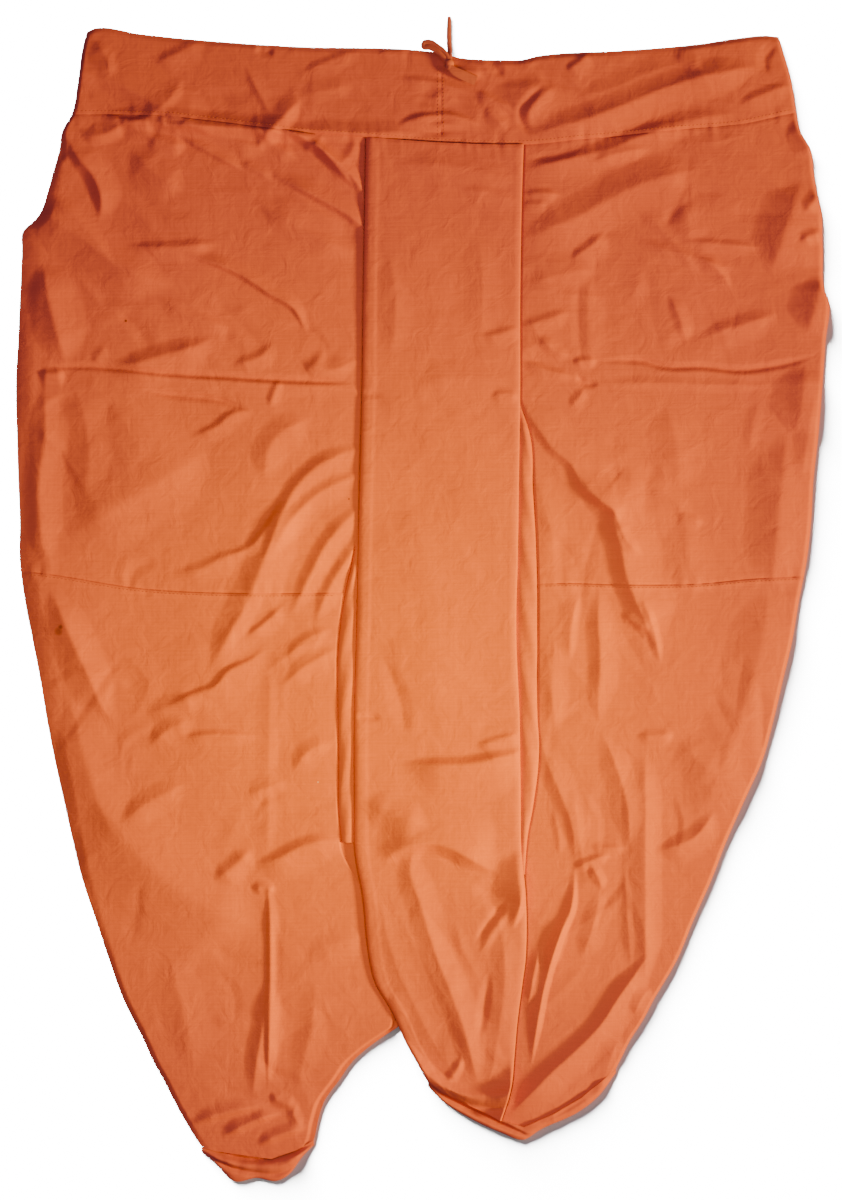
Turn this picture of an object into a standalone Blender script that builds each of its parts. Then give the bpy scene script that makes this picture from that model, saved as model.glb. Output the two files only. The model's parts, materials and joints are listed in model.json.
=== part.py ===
"""Dhoti pants laid flat on a surface, front side up.

The back lies flat on the surface. The front panels lie on it, the box pleat's two underlays lie
on them, and the pleat panel lies on top. Each panel is a grid between its own four edges, lifted
by its folds and given the cloth wall's thickness. Tables are in millimetres: across is measured
from the middle, positive to the wearer's left (+X), and down from the waist's highest corner
towards the hems (-Y). The surface is Z = 0.
"""
from collections import namedtuple

import bmesh
import bpy
import numpy as np

MM = 0.001

# Driving sizes, in millimetres.
GARMENT_LENGTH = 1039.0
WALL = 1.2
SEAM_GAP = 0.3
CENTRE_SEAM = 16.6
CORD_RADIUS = 1.8

# Undersides of the layers, each SEAM_GAP above the one below.
BACK_LEVEL = 0.0
FRONT_LEVEL = BACK_LEVEL + WALL + SEAM_GAP
UNDERLAY_LEVEL = FRONT_LEVEL + WALL + SEAM_GAP
PANEL_LEVEL = UNDERLAY_LEVEL + WALL + SEAM_GAP

# How far the loose cloth stands off the back between its folds, and the distance from an edge
# over which it rises to that height.
LEG_LOFT = 3.8
BAND_LOFT = 3.8
PANEL_LOFT = 2.2
EDGE_ROLL = 22.0
PLEAT_ROLL = 13.0
# Where a trough would sink into the layer below, it flattens over this height instead.
SETTLE_SOFTNESS = 0.8
# Strip of a leg, beside its inner edge, that lies flat under the pleat.
INNER_STRIP = 12.0
PLEAT_CLEARANCE = 1.0

# Outer edges. right and left are the wearer's sides.
SideRow = namedtuple("SideRow", "down right left")
SIDES = [
    SideRow(0, -301, 318),
    SideRow(18, -306, 324),
    SideRow(47, -310, 332),
    SideRow(78, -316, 337),
    SideRow(92, -324, 340),
    SideRow(110, -327, 350),
    SideRow(128, -332, 352),
    SideRow(146, -337, 355),
    SideRow(164, -343, 359),
    SideRow(173, -349, 360),
    SideRow(182, -359, 360),
    SideRow(200, -360.5, 360.5),
    SideRow(236, -362, 362),
    SideRow(245, -362.5, 366),
    SideRow(281, -364, 363),
    SideRow(317, -366, 360.5),
    SideRow(371, -365, 356),
    SideRow(407, -364, 352),
    SideRow(443, -362.5, 350),
    SideRow(479, -362.5, 346),
    SideRow(515, -358, 339),
    SideRow(551, -351, 333),
    SideRow(587, -344, 324.5),
    SideRow(623, -338, 316),
    SideRow(659, -331, 306),
    SideRow(695, -323, 290),
    SideRow(731, -315, 274),
    SideRow(767, -306, 260),
    SideRow(803, -294, 244),
    SideRow(839, -282, 229),
    SideRow(875, -269, 208),
    SideRow(893, -260, 198.5),
    SideRow(911, -251, 187),
    SideRow(929, -243, 178),
    SideRow(947, -233, 168),
    SideRow(965, -224, 152),
    SideRow(983, -214, 121),
    SideRow(1001, -203, 91),
    SideRow(1010, -196, 91),
    SideRow(1020, -187, 91),
]

# Waistband: its top edge, and the seam that joins it to the legs.
EdgePoint = namedtuple("EdgePoint", "across down")
WAIST_TOP = [
    EdgePoint(-301, 3),
    EdgePoint(-293, 0),
    EdgePoint(-254, 5.5),
    EdgePoint(-182, 12.5),
    EdgePoint(-110, 17),
    EdgePoint(-20, 19),
    EdgePoint(16, 22.5),
    EdgePoint(34, 27),
    EdgePoint(70, 29),
    EdgePoint(88, 29),
    EdgePoint(106, 25),
    EdgePoint(178, 20.5),
    EdgePoint(250, 14.5),
    EdgePoint(286, 9),
    EdgePoint(308, 7),
    EdgePoint(320, 8),
]
WAIST_SEAM = [
    EdgePoint(-320, 78),
    EdgePoint(-270, 78.5),
    EdgePoint(-180, 85.5),
    EdgePoint(-126, 93),
    EdgePoint(-47, 99),
    EdgePoint(16, 103.5),
    EdgePoint(92, 105),
    EdgePoint(148, 100),
    EdgePoint(233, 92),
    EdgePoint(286, 87),
    EdgePoint(323, 79),
    EdgePoint(340, 75.5),
]
# The cloth is joined across each leg below the seat.
JOIN_SEAM = [
    EdgePoint(-366, 488),
    EdgePoint(-332, 492),
    EdgePoint(-256, 504),
    EdgePoint(-190, 508),
    EdgePoint(-70, 508),
    EdgePoint(17, 505),
    EdgePoint(86, 501),
    EdgePoint(129, 499.5),
    EdgePoint(180, 501),
    EdgePoint(250, 500),
    EdgePoint(293, 496),
    EdgePoint(350, 493),
]
# Where each leg's cloth meets its turned hem, and the hem's own lower edge.
RIGHT_HEM_TOP = [
    EdgePoint(-199, 1008),
    EdgePoint(-186, 1011),
    EdgePoint(-136, 1018),
    EdgePoint(-113, 1010),
    EdgePoint(-98, 1001),
]
RIGHT_HEM_FOOT = [
    EdgePoint(-199, 1012),
    EdgePoint(-186, 1023),
    EdgePoint(-171, 1038),
    EdgePoint(-150, 1035.5),
    EdgePoint(-131, 1038),
    EdgePoint(-119, 1031),
    EdgePoint(-108, 1016),
    EdgePoint(-98, 1006),
]
LEFT_HEM_TOP = [
    EdgePoint(5, 948),
    EdgePoint(18, 958),
    EdgePoint(45, 971),
    EdgePoint(70, 982),
    EdgePoint(91, 989),
    EdgePoint(118, 977),
    EdgePoint(142, 963),
    EdgePoint(162, 947),
    EdgePoint(174, 936.5),
]
LEFT_HEM_FOOT = [
    EdgePoint(5, 953),
    EdgePoint(18, 966),
    EdgePoint(45, 983),
    EdgePoint(70, 994.5),
    EdgePoint(91, 1001),
    EdgePoint(106, 992),
    EdgePoint(142, 975),
    EdgePoint(160, 960),
    EdgePoint(174, 941),
]

# Inner edges: the centre seam down to the fork, then the inside of each leg.
SeamRow = namedtuple("SeamRow", "down across")
CENTRE_LINE = [
    SeamRow(95, 16.6),
    SeamRow(500, 16.6),
    SeamRow(700, 15),
    SeamRow(790, 7),
    SeamRow(850, -7),
    SeamRow(899, -21.5),
]
FORK_DOWN = 899.0
InnerRow = namedtuple("InnerRow", "down right left")
INSIDES = [
    InnerRow(899, -21.5, -21.5),
    InnerRow(911, -40, -16),
    InnerRow(929, -62, -6),
    InnerRow(947, -75, 4),
    InnerRow(965, -88, 18),
    InnerRow(983, -94, 45),
    InnerRow(1001, -98, 91),
    InnerRow(1020, -108, 91),
]

# The box pleat: the top panel's two edges, and the outer edges of the underlays below it.
PleatRow = namedtuple("PleatRow", "down right left")
PANEL_EDGES = [
    PleatRow(95, -51, 91.5),
    PleatRow(155, -52, 89.5),
    PleatRow(245, -53.5, 88),
    PleatRow(324, -54.5, 88),
    PleatRow(398, -56.5, 87),
    PleatRow(469, -58, 86),
    PleatRow(542, -59.5, 84.5),
    PleatRow(623, -61.5, 87.5),
    PleatRow(700, -61.5, 88.5),
    PleatRow(740, -61, 89),
    PleatRow(781, -54, 93),
    PleatRow(836, -48, 93),
    PleatRow(860, -42, 90),
    PleatRow(882, -29, 87),
    PleatRow(899, -21, 85),
    PleatRow(911, -16, 83),
    PleatRow(929, -6, 79),
    PleatRow(947, 4, 73),
    PleatRow(965, 18, 68),
    PleatRow(983, 40, 63),
]
UNDERLAY_EDGES = [
    PleatRow(95, -40, 80),
    PleatRow(300, -44, 80),
    PleatRow(335, -46, 88),
    PleatRow(371, -49, 98),
    PleatRow(413, -53, 100),
    PleatRow(468, -61, 103),
    PleatRow(508, -70, 104),
    PleatRow(555, -76, 104),
    PleatRow(623, -76.5, 104),
    PleatRow(651, -76, 105.5),
    PleatRow(700, -76, 100),
    PleatRow(727, -74, 95),
    PleatRow(780, -70, 91),
]
UNDERLAY_WIDTH = 38.0
UNDERLAY_FOOT_RIGHT = 733.0
UNDERLAY_FOOT_LEFT = 762.0

# Largest folds. Each runs through start, middle and end, as (across, down); a rise below zero
# is a trough.
Fold = namedtuple("Fold", "start middle end width rise")
BAND_FOLDS = [
    Fold((-290, 40), (-200, 52), (-90, 50), 15, 3.7),
    Fold((-300, 60), (-240, 76), (-140, 84), 9, -4),
    Fold((-110, 66), (-40, 62), (10, 54), 12, 2.5),
    Fold((40, 52), (80, 64), (84, 80), 9, -3.1),
    Fold((100, 86), (190, 60), (290, 36), 10, -4),
    Fold((110, 62), (180, 44), (300, 24), 13, 4),
    Fold((180, 88), (240, 76), (310, 60), 12, 3.4),
]
RIGHT_LEG_FOLDS = [
    Fold((-316, 90), (-312, 130), (-290, 168), 12, -4.7),
    Fold((-337, 166), (-270, 225), (-206, 262), 17, -4),
    Fold((-350, 250), (-318, 300), (-330, 420), 20, 3.7),
    Fold((-112, 102), (-70, 132), (-54, 158), 11, -4),
    Fold((-225, 96), (-190, 116), (-150, 132), 12, 3.4),
    Fold((-56, 372), (-110, 400), (-146, 452), 13, 5.9),
    Fold((-146, 452), (-175, 520), (-196, 584), 15, 5.6),
    Fold((-58, 398), (-104, 424), (-120, 446), 9, -4.7),
    Fold((-130, 490), (-150, 520), (-170, 552), 12, -4.7),
    Fold((-176, 404), (-250, 430), (-300, 438), 18, 3.1),
    Fold((-144, 556), (-205, 590), (-240, 614), 11, -5.3),
    Fold((-120, 570), (-190, 606), (-256, 640), 14, 5),
    Fold((-326, 560), (-300, 620), (-280, 700), 17, -3.7),
    Fold((-78, 580), (-110, 596), (-122, 626), 11, 4.3),
    Fold((-160, 744), (-110, 740), (-72, 730), 13, -3.7),
    Fold((-139, 770), (-137, 850), (-140, 950), 10, 5.4),
    Fold((-147, 840), (-150, 900), (-158, 950), 9, -4.3),
    Fold((-180, 985), (-150, 975), (-120, 960), 10, 4.7),
    Fold((-250, 800), (-225, 880), (-190, 960), 20, 3.7),
]
LEFT_LEG_FOLDS = [
    Fold((94, 126), (140, 116), (196, 96), 11, -4.3),
    Fold((94, 190), (160, 160), (220, 132), 16, 3.7),
    Fold((94, 214), (140, 196), (200, 150), 12, -3.7),
    Fold((94, 270), (130, 254), (170, 240), 13, 3.4),
    Fold((330, 130), (316, 190), (322, 220), 13, -4),
    Fold((348, 215), (330, 380), (292, 560), 20, -5),
    Fold((292, 560), (270, 650), (226, 730), 18, -3.7),
    Fold((302, 250), (290, 400), (250, 540), 24, 4),
    Fold((98, 350), (142, 412), (176, 448), 14, 6.8),
    Fold((176, 448), (186, 490), (210, 534), 13, 5.9),
    Fold((104, 384), (140, 440), (160, 500), 16, -4.7),
    Fold((152, 516), (146, 570), (148, 628), 12, -4),
    Fold((160, 540), (166, 610), (172, 690), 12, 5),
    Fold((176, 660), (186, 710), (188, 780), 10, -4.3),
    Fold((136, 758), (116, 830), (98, 930), 10, 6.2),
    Fold((160, 800), (150, 860), (140, 920), 12, -3.7),
    Fold((190, 860), (150, 910), (104, 946), 12, -4.3),
    Fold((202, 800), (176, 880), (140, 950), 15, 5),
]
PANEL_FOLDS = [
    Fold((-22, 134), (24, 126), (84, 138), 14, -2.2),
    Fold((-20, 420), (16, 520), (14, 600), 36, 2.5),
    Fold((-6, 658), (40, 660), (82, 646), 13, -3.4),
    Fold((-8, 744), (36, 748), (90, 774), 13, -4.7),
    Fold((-40, 700), (20, 712), (80, 706), 18, 3.1),
    Fold((-10, 762), (18, 840), (40, 930), 11, 5.6),
    Fold((-34, 790), (6, 866), (34, 940), 9, -4),
    Fold((60, 800), (62, 870), (54, 940), 12, 5),
    Fold((40, 800), (44, 870), (46, 940), 8, -3.7),
]
HEM_FOLDS = [
    Fold((-200, 1012), (-136, 1022), (-100, 1006), 5, 1.2),
    Fold((-186, 1022), (-150, 1031), (-118, 1026), 4, 1.0),
    Fold((10, 956), (60, 984), (91, 994), 5, 1.2),
    Fold((91, 994), (130, 976), (168, 946), 5, 1.2),
]
# The bunched hems: their height, and how it rounds off towards the two corners.
HEM_HEIGHT = 6.2
HEM_CORNER_REACH = 25.0
HEM_CORNER_SHARE = 0.35
# A leg's folds keep this share of their rise where it meets its hem, over this distance.
HEM_SHARE = 0.35
HEM_REACH = 30.0

# Grid cells across and down each panel.
LEG_CELLS_OUT = 15
LEG_CELLS_PLEAT = 2
UPPER_CELLS_DOWN = 22
LOWER_CELLS_DOWN = 25
BAND_CELLS = (20, 5)
PANEL_CELLS = (9, 44)
UNDERLAY_CELLS = (2, 26)
HEM_CELLS = (2, 3)
BACK_EDGE_STEP = 22.0

# Drawstring, at the top of the centre-front seam.
RoutePoint = namedtuple("RoutePoint", "across down clear")
KNOT = RoutePoint(25.5, 33.0, 0.0)
KNOT_SIZE = (5.2, 4.6, 3.4)
UPRIGHT_ROUTE = [
    RoutePoint(24.6, 27.4, 4.2),
    RoutePoint(24.4, 25.0, 3.6),
    RoutePoint(24.2, 20.0, 0.6),
    RoutePoint(24.0, 14.0, 0.0),
    RoutePoint(23.9, 4.0, 0.0),
    RoutePoint(23.8, -10.5, 0.0),
]
FLAT_ROUTE = [
    RoutePoint(29.6, 36.6, 2.4),
    RoutePoint(34.0, 40.8, 2.8),
    RoutePoint(40.0, 44.4, 2.2),
    RoutePoint(46.0, 46.8, 1.2),
    RoutePoint(55.5, 48.2, 0.6),
]
LOOP_ROUTE = [
    RoutePoint(21.0, 27.6, 4.0),
    RoutePoint(14.0, 18.0, 3.4),
    RoutePoint(5.0, 10.8, 0.6),
    RoutePoint(-2.5, 14.4, 0.0),
    RoutePoint(-1.0, 17.0, 3.2),
    RoutePoint(8.0, 21.0, 3.8),
    RoutePoint(15.4, 26.6, 4.2),
    RoutePoint(19.6, 31.4, 3.0),
]
CORD_STEP = 5.0

CLOTH_ORANGE = (0.62, 0.19, 0.07, 1.0)
CLOTH_LIGHT = (0.70, 0.26, 0.10, 1.0)
CLOTH_SHADE = (0.50, 0.13, 0.05, 1.0)


def clear_scene():
    """Start from an empty file."""
    for obj in list(bpy.data.objects):
        bpy.data.objects.remove(obj, do_unlink=True)


def through(at, knots, values):
    """Smooth line through a table: cubic Hermite, each slope the mean of its two chords."""
    knots = np.asarray(knots, float)
    values = np.asarray(values, float)
    chords = np.diff(values) / np.diff(knots)
    slopes = np.concatenate((chords[:1], (chords[1:] + chords[:-1]) / 2, chords[-1:]))
    at = np.clip(at, knots[0], knots[-1])
    cell = np.clip(np.searchsorted(knots, at, side="right") - 1, 0, len(knots) - 2)
    span = knots[cell + 1] - knots[cell]
    t = (at - knots[cell]) / span
    return (
        values[cell] * (1 + 2 * t) * (1 - t) ** 2
        + values[cell + 1] * t**2 * (3 - 2 * t)
        + span * slopes[cell] * t * (1 - t) ** 2
        - span * slopes[cell + 1] * t**2 * (1 - t)
    )


def column(table, name):
    """One named column of a table, as an array."""
    return np.array([getattr(row, name) for row in table], float)


def edge_down(table):
    """Edge that runs across the garment, as a function of across."""
    return lambda across: through(across, column(table, "across"), column(table, "down"))


def chord_down(table):
    """Edge that runs across in straight stretches between the table's points."""
    return lambda across: np.interp(across, column(table, "across"), column(table, "down"))


def edge_across(table, side):
    """Edge that runs down the garment, as a function of down."""
    return lambda down: through(down, column(table, "down"), column(table, side))


def inner_edge(side):
    """The centre seam down to the fork, and the leg's inner edge below it."""
    seam = edge_across(CENTRE_LINE, "across")
    inside = edge_across(INSIDES, side)
    return lambda down: np.where(down < FORK_DOWN, seam(down), inside(down))


def smooth_step(t):
    """0 below 0, 1 above 1, and a smooth rise between."""
    t = np.clip(t, 0.0, 1.0)
    return t * t * (3 - 2 * t)


def fold_rise(across, down, folds, samples=24):
    """Sum of the folds: rise * exp(-(distance / width)^2), fading over each fold's two ends."""
    total = np.zeros_like(across)
    t = np.linspace(0.0, 1.0, samples)
    weights = np.array([(2 * t - 1) * (t - 1), 4 * t * (1 - t), t * (2 * t - 1)])
    fade = smooth_step(np.minimum(t, 1 - t) / 0.25) * 0.85 + 0.15
    for fold in folds:
        path = weights.T @ np.array([fold.start, fold.middle, fold.end], float)
        reach = np.hypot(across[..., None] - path[:, 0], down[..., None] - path[:, 1])
        nearest = reach.argmin(axis=-1)
        total += fold.rise * fade[nearest] * np.exp(-((reach.min(axis=-1) / fold.width) ** 2))
    return total


def settle(rise):
    """Keep a height above the layer below: negative heights flatten smoothly towards zero."""
    return 0.5 * (rise + np.sqrt(rise * rise + SETTLE_SOFTNESS**2))


def panel_grid(edge_right, edge_left, edge_top, edge_foot, across_steps, down_steps):
    """Grid between four edges: across is a mean of the side edges at that down, and down is a
    mean of the top and foot edges at that across, each found from the other in a few rounds."""
    share_across, share_down = np.meshgrid(across_steps, down_steps, indexing="ij")
    middle = 0.5 * (edge_right(np.float64(500.0)) + edge_left(np.float64(500.0)))
    down = (1 - share_down) * edge_top(middle) + share_down * edge_foot(middle)
    for _ in range(60):
        across = (1 - share_across) * edge_right(down) + share_across * edge_left(down)
        down = 0.5 * (down + (1 - share_down) * edge_top(across) + share_down * edge_foot(across))
    return across, down


def add_to_collection(obj, colour, roughness):
    """Give the object its own material and put it in the garment's collection."""
    material = bpy.data.materials.new(obj.name + "_cloth")
    material.use_nodes = True
    shader = material.node_tree.nodes["Principled BSDF"]
    shader.inputs["Base Color"].default_value = colour
    shader.inputs["Roughness"].default_value = roughness
    shader.inputs["Metallic"].default_value = 0.0
    obj.data.materials.append(material)
    garment.objects.link(obj)


def wall_from_grid(name, across, down, underside, top, colour):
    """Closed cloth wall: a grid laid on the underside's points, extruded to the top's points."""
    columns, rows = across.shape
    mesh = bmesh.new()
    bmesh.ops.create_grid(mesh, x_segments=columns - 1, y_segments=rows - 1, size=0.5)
    low = sorted(mesh.verts, key=lambda v: (round((v.co.x + 0.5) * (columns - 1)),
                                            -round((v.co.y + 0.5) * (rows - 1))))
    raised = bmesh.ops.extrude_face_region(mesh, geom=mesh.faces[:], use_keep_orig=True)
    copies = [item for item in raised["geom"] if isinstance(item, bmesh.types.BMVert)]
    high = sorted(copies, key=lambda v: (round((v.co.x + 0.5) * (columns - 1)),
                                         -round((v.co.y + 0.5) * (rows - 1))))
    for verts, level in ((low, underside), (high, top)):
        for vert, x, y, z in zip(verts, across.flat, down.flat, level.flat):
            vert.co = (x * MM, (GARMENT_LENGTH / 2 - y) * MM, z * MM)
    bmesh.ops.recalc_face_normals(mesh, faces=mesh.faces[:])
    data = bpy.data.meshes.new(name)
    mesh.to_mesh(data)
    mesh.free()
    data.shade_smooth()
    data.set_sharp_from_angle(angle=0.9)
    add_to_collection(bpy.data.objects.new(name, data), colour, 0.55)


def side_distance(across, down, table):
    """Distance across to the nearer of a table's right and left edges."""
    to_right = np.abs(across - edge_across(table, "right")(down))
    to_left = np.abs(across - edge_across(table, "left")(down))
    return np.minimum(to_right, to_left)


def waist_bands():
    """Two front casings that meet at the centre-front seam."""
    right = edge_across(SIDES, "right")
    left = edge_across(SIDES, "left")
    half = SEAM_GAP / 2
    halves = (
        ("waistband_front_right", right, lambda down: np.full_like(down, CENTRE_SEAM - half)),
        ("waistband_front_left", lambda down: np.full_like(down, CENTRE_SEAM + half), left),
    )
    steps_across = np.linspace(0, 1, BAND_CELLS[0] + 1)
    steps_down = np.linspace(0, 1, BAND_CELLS[1] + 1)
    for name, edge_right, edge_left in halves:
        across, down = panel_grid(edge_right, edge_left, edge_down(WAIST_TOP),
                                  lambda x: edge_down(WAIST_SEAM)(x) - half,
                                  steps_across, steps_down)
        height = FRONT_LEVEL + band_rise(across, down)
        wall_from_grid(name, across, down, height, height + WALL, CLOTH_SHADE)


def band_rise(across, down):
    """Loft and folds of the waistband, falling to nothing at its top edge and its sides."""
    top = down - edge_down(WAIST_TOP)(across)
    sides = side_distance(across, down, SIDES)
    mask = smooth_step(top / EDGE_ROLL) * smooth_step(sides / EDGE_ROLL)
    return settle((BAND_LOFT + fold_rise(across, down, BAND_FOLDS)) * mask)


def leg_edges(side):
    """Outer edge, pleat line and inner edge of one front leg, each as a function of down."""
    outer = edge_across(SIDES, side)
    inner = inner_edge(side)
    underlay = edge_across(UNDERLAY_EDGES, side)
    panel = edge_across(PANEL_EDGES, side)
    pick, hand = (np.minimum, -1) if side == "right" else (np.maximum, 1)

    def pleat_line(down):
        """Outermost of the underlay's edge, the panel's edge and a strip along the inner edge."""
        underlay_line = np.where(down < UNDERLAY_FOOT_LEFT, underlay(down), panel(down))
        covered = pick(underlay_line, panel(down))
        return pick(covered + hand * PLEAT_CLEARANCE, inner(down) + hand * INNER_STRIP)

    return outer, pleat_line, inner, hand


def leg_rise(across, down, side, folds):
    """Loft and folds of a leg, falling to zero at the outer edge and under the pleat."""
    outer, pleat_line, _, _ = leg_edges(side)
    outside = np.abs(across - outer(down))
    beside = np.where((across - pleat_line(down)) * (1 if side == "left" else -1) > 0,
                      np.abs(across - pleat_line(down)), 0.0)
    hem = RIGHT_HEM_TOP if side == "right" else LEFT_HEM_TOP
    to_hem = np.maximum(chord_down(hem)(across) - down, 0.0)
    shape = LEG_LOFT + fold_rise(across, down, folds)
    mask = smooth_step(outside / EDGE_ROLL) * smooth_step(beside / PLEAT_ROLL)
    near_hem = HEM_SHARE + (1 - HEM_SHARE) * smooth_step(to_hem / HEM_REACH)
    return settle(shape * near_hem) * mask


def leg_fronts():
    """Upper and lower front of each leg, joined below the seat."""
    half = SEAM_GAP / 2
    waist = edge_down(WAIST_SEAM)
    join = edge_down(JOIN_SEAM)
    for side, folds, hem in (("right", RIGHT_LEG_FOLDS, RIGHT_HEM_TOP),
                             ("left", LEFT_LEG_FOLDS, LEFT_HEM_TOP)):
        outer, pleat_line, inner, hand = leg_edges(side)
        inner_cut = lambda down, inner=inner, hand=hand: inner(down) + hand * half
        hem_line = chord_down(hem)
        stretches = (
            ("upper", lambda x: waist(x) + half, lambda x: join(x) - half, UPPER_CELLS_DOWN),
            ("lower", lambda x: join(x) + half, lambda x: hem_line(x) - half, LOWER_CELLS_DOWN),
        )
        for stretch, top, foot, cells_down in stretches:
            steps_down = np.linspace(0, 1, cells_down + 1)
            out = panel_grid(outer, pleat_line, top, foot,
                             np.linspace(0, 1, LEG_CELLS_OUT + 1), steps_down)
            pleat = panel_grid(pleat_line, inner_cut, top, foot,
                               np.linspace(0, 1, LEG_CELLS_PLEAT + 1)[1:], steps_down)
            across = np.concatenate((out[0], pleat[0]))
            down = np.concatenate((out[1], pleat[1]))
            if side == "left":
                across, down = across[::-1], down[::-1]
            height = FRONT_LEVEL + leg_rise(across, down, side, folds)
            wall_from_grid("leg_%s_front_%s" % (stretch, side), across, down,
                           height, height + WALL, CLOTH_ORANGE)


def pleat_layers():
    """The box pleat: an underlay on each side, and the panel over both."""
    half = SEAM_GAP / 2
    top = lambda x: edge_down(WAIST_SEAM)(x) + half
    for side, foot, hand in (("right", UNDERLAY_FOOT_RIGHT, 1), ("left", UNDERLAY_FOOT_LEFT, -1)):
        outer = edge_across(UNDERLAY_EDGES, side)
        inner = lambda down, outer=outer, hand=hand: outer(down) + hand * UNDERLAY_WIDTH
        sides = (outer, inner) if side == "right" else (inner, outer)
        across, down = panel_grid(*sides, top, lambda x, foot=foot: np.full_like(x, foot),
                                  np.linspace(0, 1, UNDERLAY_CELLS[0] + 1),
                                  np.linspace(0, 1, UNDERLAY_CELLS[1] + 1))
        level = np.full_like(across, UNDERLAY_LEVEL)
        wall_from_grid("underpleat_" + side, across, down, level, level + WALL, CLOTH_SHADE)

    right = edge_across(PANEL_EDGES, "right")
    left = edge_across(PANEL_EDGES, "left")
    across, down = panel_grid(right, left, top, lambda x: chord_down(LEFT_HEM_TOP)(x) - half,
                              np.linspace(0, 1, PANEL_CELLS[0] + 1),
                              np.linspace(0, 1, PANEL_CELLS[1] + 1))
    height = PANEL_LEVEL + panel_rise(across, down)
    wall_from_grid("pleat_panel", across, down, height, height + WALL, CLOTH_LIGHT)


def panel_rise(across, down):
    """Crown of the pleat panel between its two folded edges, with its folds."""
    shape = PANEL_LOFT + fold_rise(across, down, PANEL_FOLDS)
    return settle(shape) * smooth_step(side_distance(across, down, PANEL_EDGES) / EDGE_ROLL)


def ankle_hems():
    """Turned hems, bunched flat: the layers share one rounded solid with ridges for the turns."""
    for side, top, foot in (("right", RIGHT_HEM_TOP, RIGHT_HEM_FOOT),
                            ("left", LEFT_HEM_TOP, LEFT_HEM_FOOT)):
        upper = chord_down(top)
        lower = edge_down(foot)
        corner_right = top[0].across
        corner_left = top[-1].across
        turns = column(top, "across")
        stations = np.concatenate([np.linspace(a, b, HEM_CELLS[0], endpoint=False)
                                   for a, b in zip(turns[:-1], turns[1:])] + [turns[-1:]])
        across, down = panel_grid(lambda y: np.full_like(y, corner_right),
                                  lambda y: np.full_like(y, corner_left),
                                  lambda x: upper(x) + SEAM_GAP / 2, lower,
                                  (stations - corner_right) / (corner_left - corner_right),
                                  np.linspace(0, 1, HEM_CELLS[1] + 1))
        share = (down - upper(across)) / (lower(across) - upper(across))
        ends = np.minimum(across - corner_right, corner_left - across)
        round_off = np.sqrt(np.clip(1 - share**2, 0, 1))
        round_off *= smooth_step(ends / HEM_CORNER_REACH + HEM_CORNER_SHARE)
        height = WALL + (HEM_HEIGHT - WALL) * round_off
        height += fold_rise(across, down, HEM_FOLDS) * round_off
        wall_from_grid("ankle_hem_" + side, across, down, np.zeros_like(across), height,
                       CLOTH_SHADE)


def flat_layer(name, outline, colour):
    """Flat cloth on the surface: a filled outline, as thick as the wall."""
    curve = bpy.data.curves.new(name, "CURVE")
    curve.dimensions = "2D"
    curve.fill_mode = "BOTH"
    curve.extrude = WALL / 2 * MM
    spline = curve.splines.new("POLY")
    spline.points.add(len(outline) - 1)
    for point, (across, down) in zip(spline.points, outline):
        point.co = (across * MM, (GARMENT_LENGTH / 2 - down) * MM, 0.0, 1.0)
    spline.use_cyclic_u = True
    obj = bpy.data.objects.new(name, curve)
    obj.location.z = (BACK_LEVEL + WALL / 2) * MM
    add_to_collection(obj, colour, 0.6)


def run_down(edge, start, stop):
    """Points along an edge that runs down, about BACK_EDGE_STEP apart."""
    count = max(2, int(abs(stop - start) / BACK_EDGE_STEP) + 1)
    down = np.linspace(start, stop, count)
    return list(zip(edge(down), down))


def run_across(edge, start, stop, step=BACK_EDGE_STEP):
    """Points along an edge that runs across, about a step apart."""
    count = max(2, int(abs(stop - start) / step) + 1)
    across = np.linspace(start, stop, count)
    return list(zip(across, edge(across)))


def back_layers():
    """Back waistband and the two back legs, flat on the surface."""
    half = SEAM_GAP / 2
    right = edge_across(SIDES, "right")
    left = edge_across(SIDES, "left")
    waist_top = edge_down(WAIST_TOP)
    waist = edge_down(WAIST_SEAM)
    band = run_across(waist_top, WAIST_TOP[0].across, WAIST_TOP[-1].across)
    band += run_down(left, 12.0, 74.0)
    band += run_across(lambda x: waist(x) - half, 336.0, -315.0)
    band += run_down(right, 74.0, 8.0)
    flat_layer("waistband_back", band, CLOTH_SHADE)

    for side, outer, hem, hand in (("right", right, RIGHT_HEM_TOP, -1),
                                   ("left", left, LEFT_HEM_TOP, 1)):
        inner = inner_edge(side)
        outer_hem, inner_hem = (hem[0], hem[-1]) if side == "right" else (hem[-1], hem[0])
        cut = lambda down, inner=inner, hand=hand: inner(down) + hand * half
        hem_line = chord_down(hem)
        outline = run_across(lambda x: waist(x) + half, CENTRE_SEAM + hand * half,
                             float(outer(np.float64(80.0))))
        outline += run_down(outer, 86.0, outer_hem.down - 6.0)
        outline += run_across(lambda x: hem_line(x) - half, outer_hem.across, inner_hem.across,
                              12.0)
        outline += run_down(cut, inner_hem.down - 6.0, FORK_DOWN)
        outline += run_down(cut, FORK_DOWN - BACK_EDGE_STEP, 120.0)
        flat_layer("leg_back_" + side, outline, CLOTH_ORANGE)


def front_top(across, down):
    """Height of the waistband's upper face where it lies, or of the surface beyond its edge."""
    x = np.array([across], float)
    y = np.array([down], float)
    on_band = down > float(edge_down(WAIST_TOP)(x)[0])
    return float(FRONT_LEVEL + WALL + band_rise(x, y)[0]) if on_band else 0.0


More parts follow.
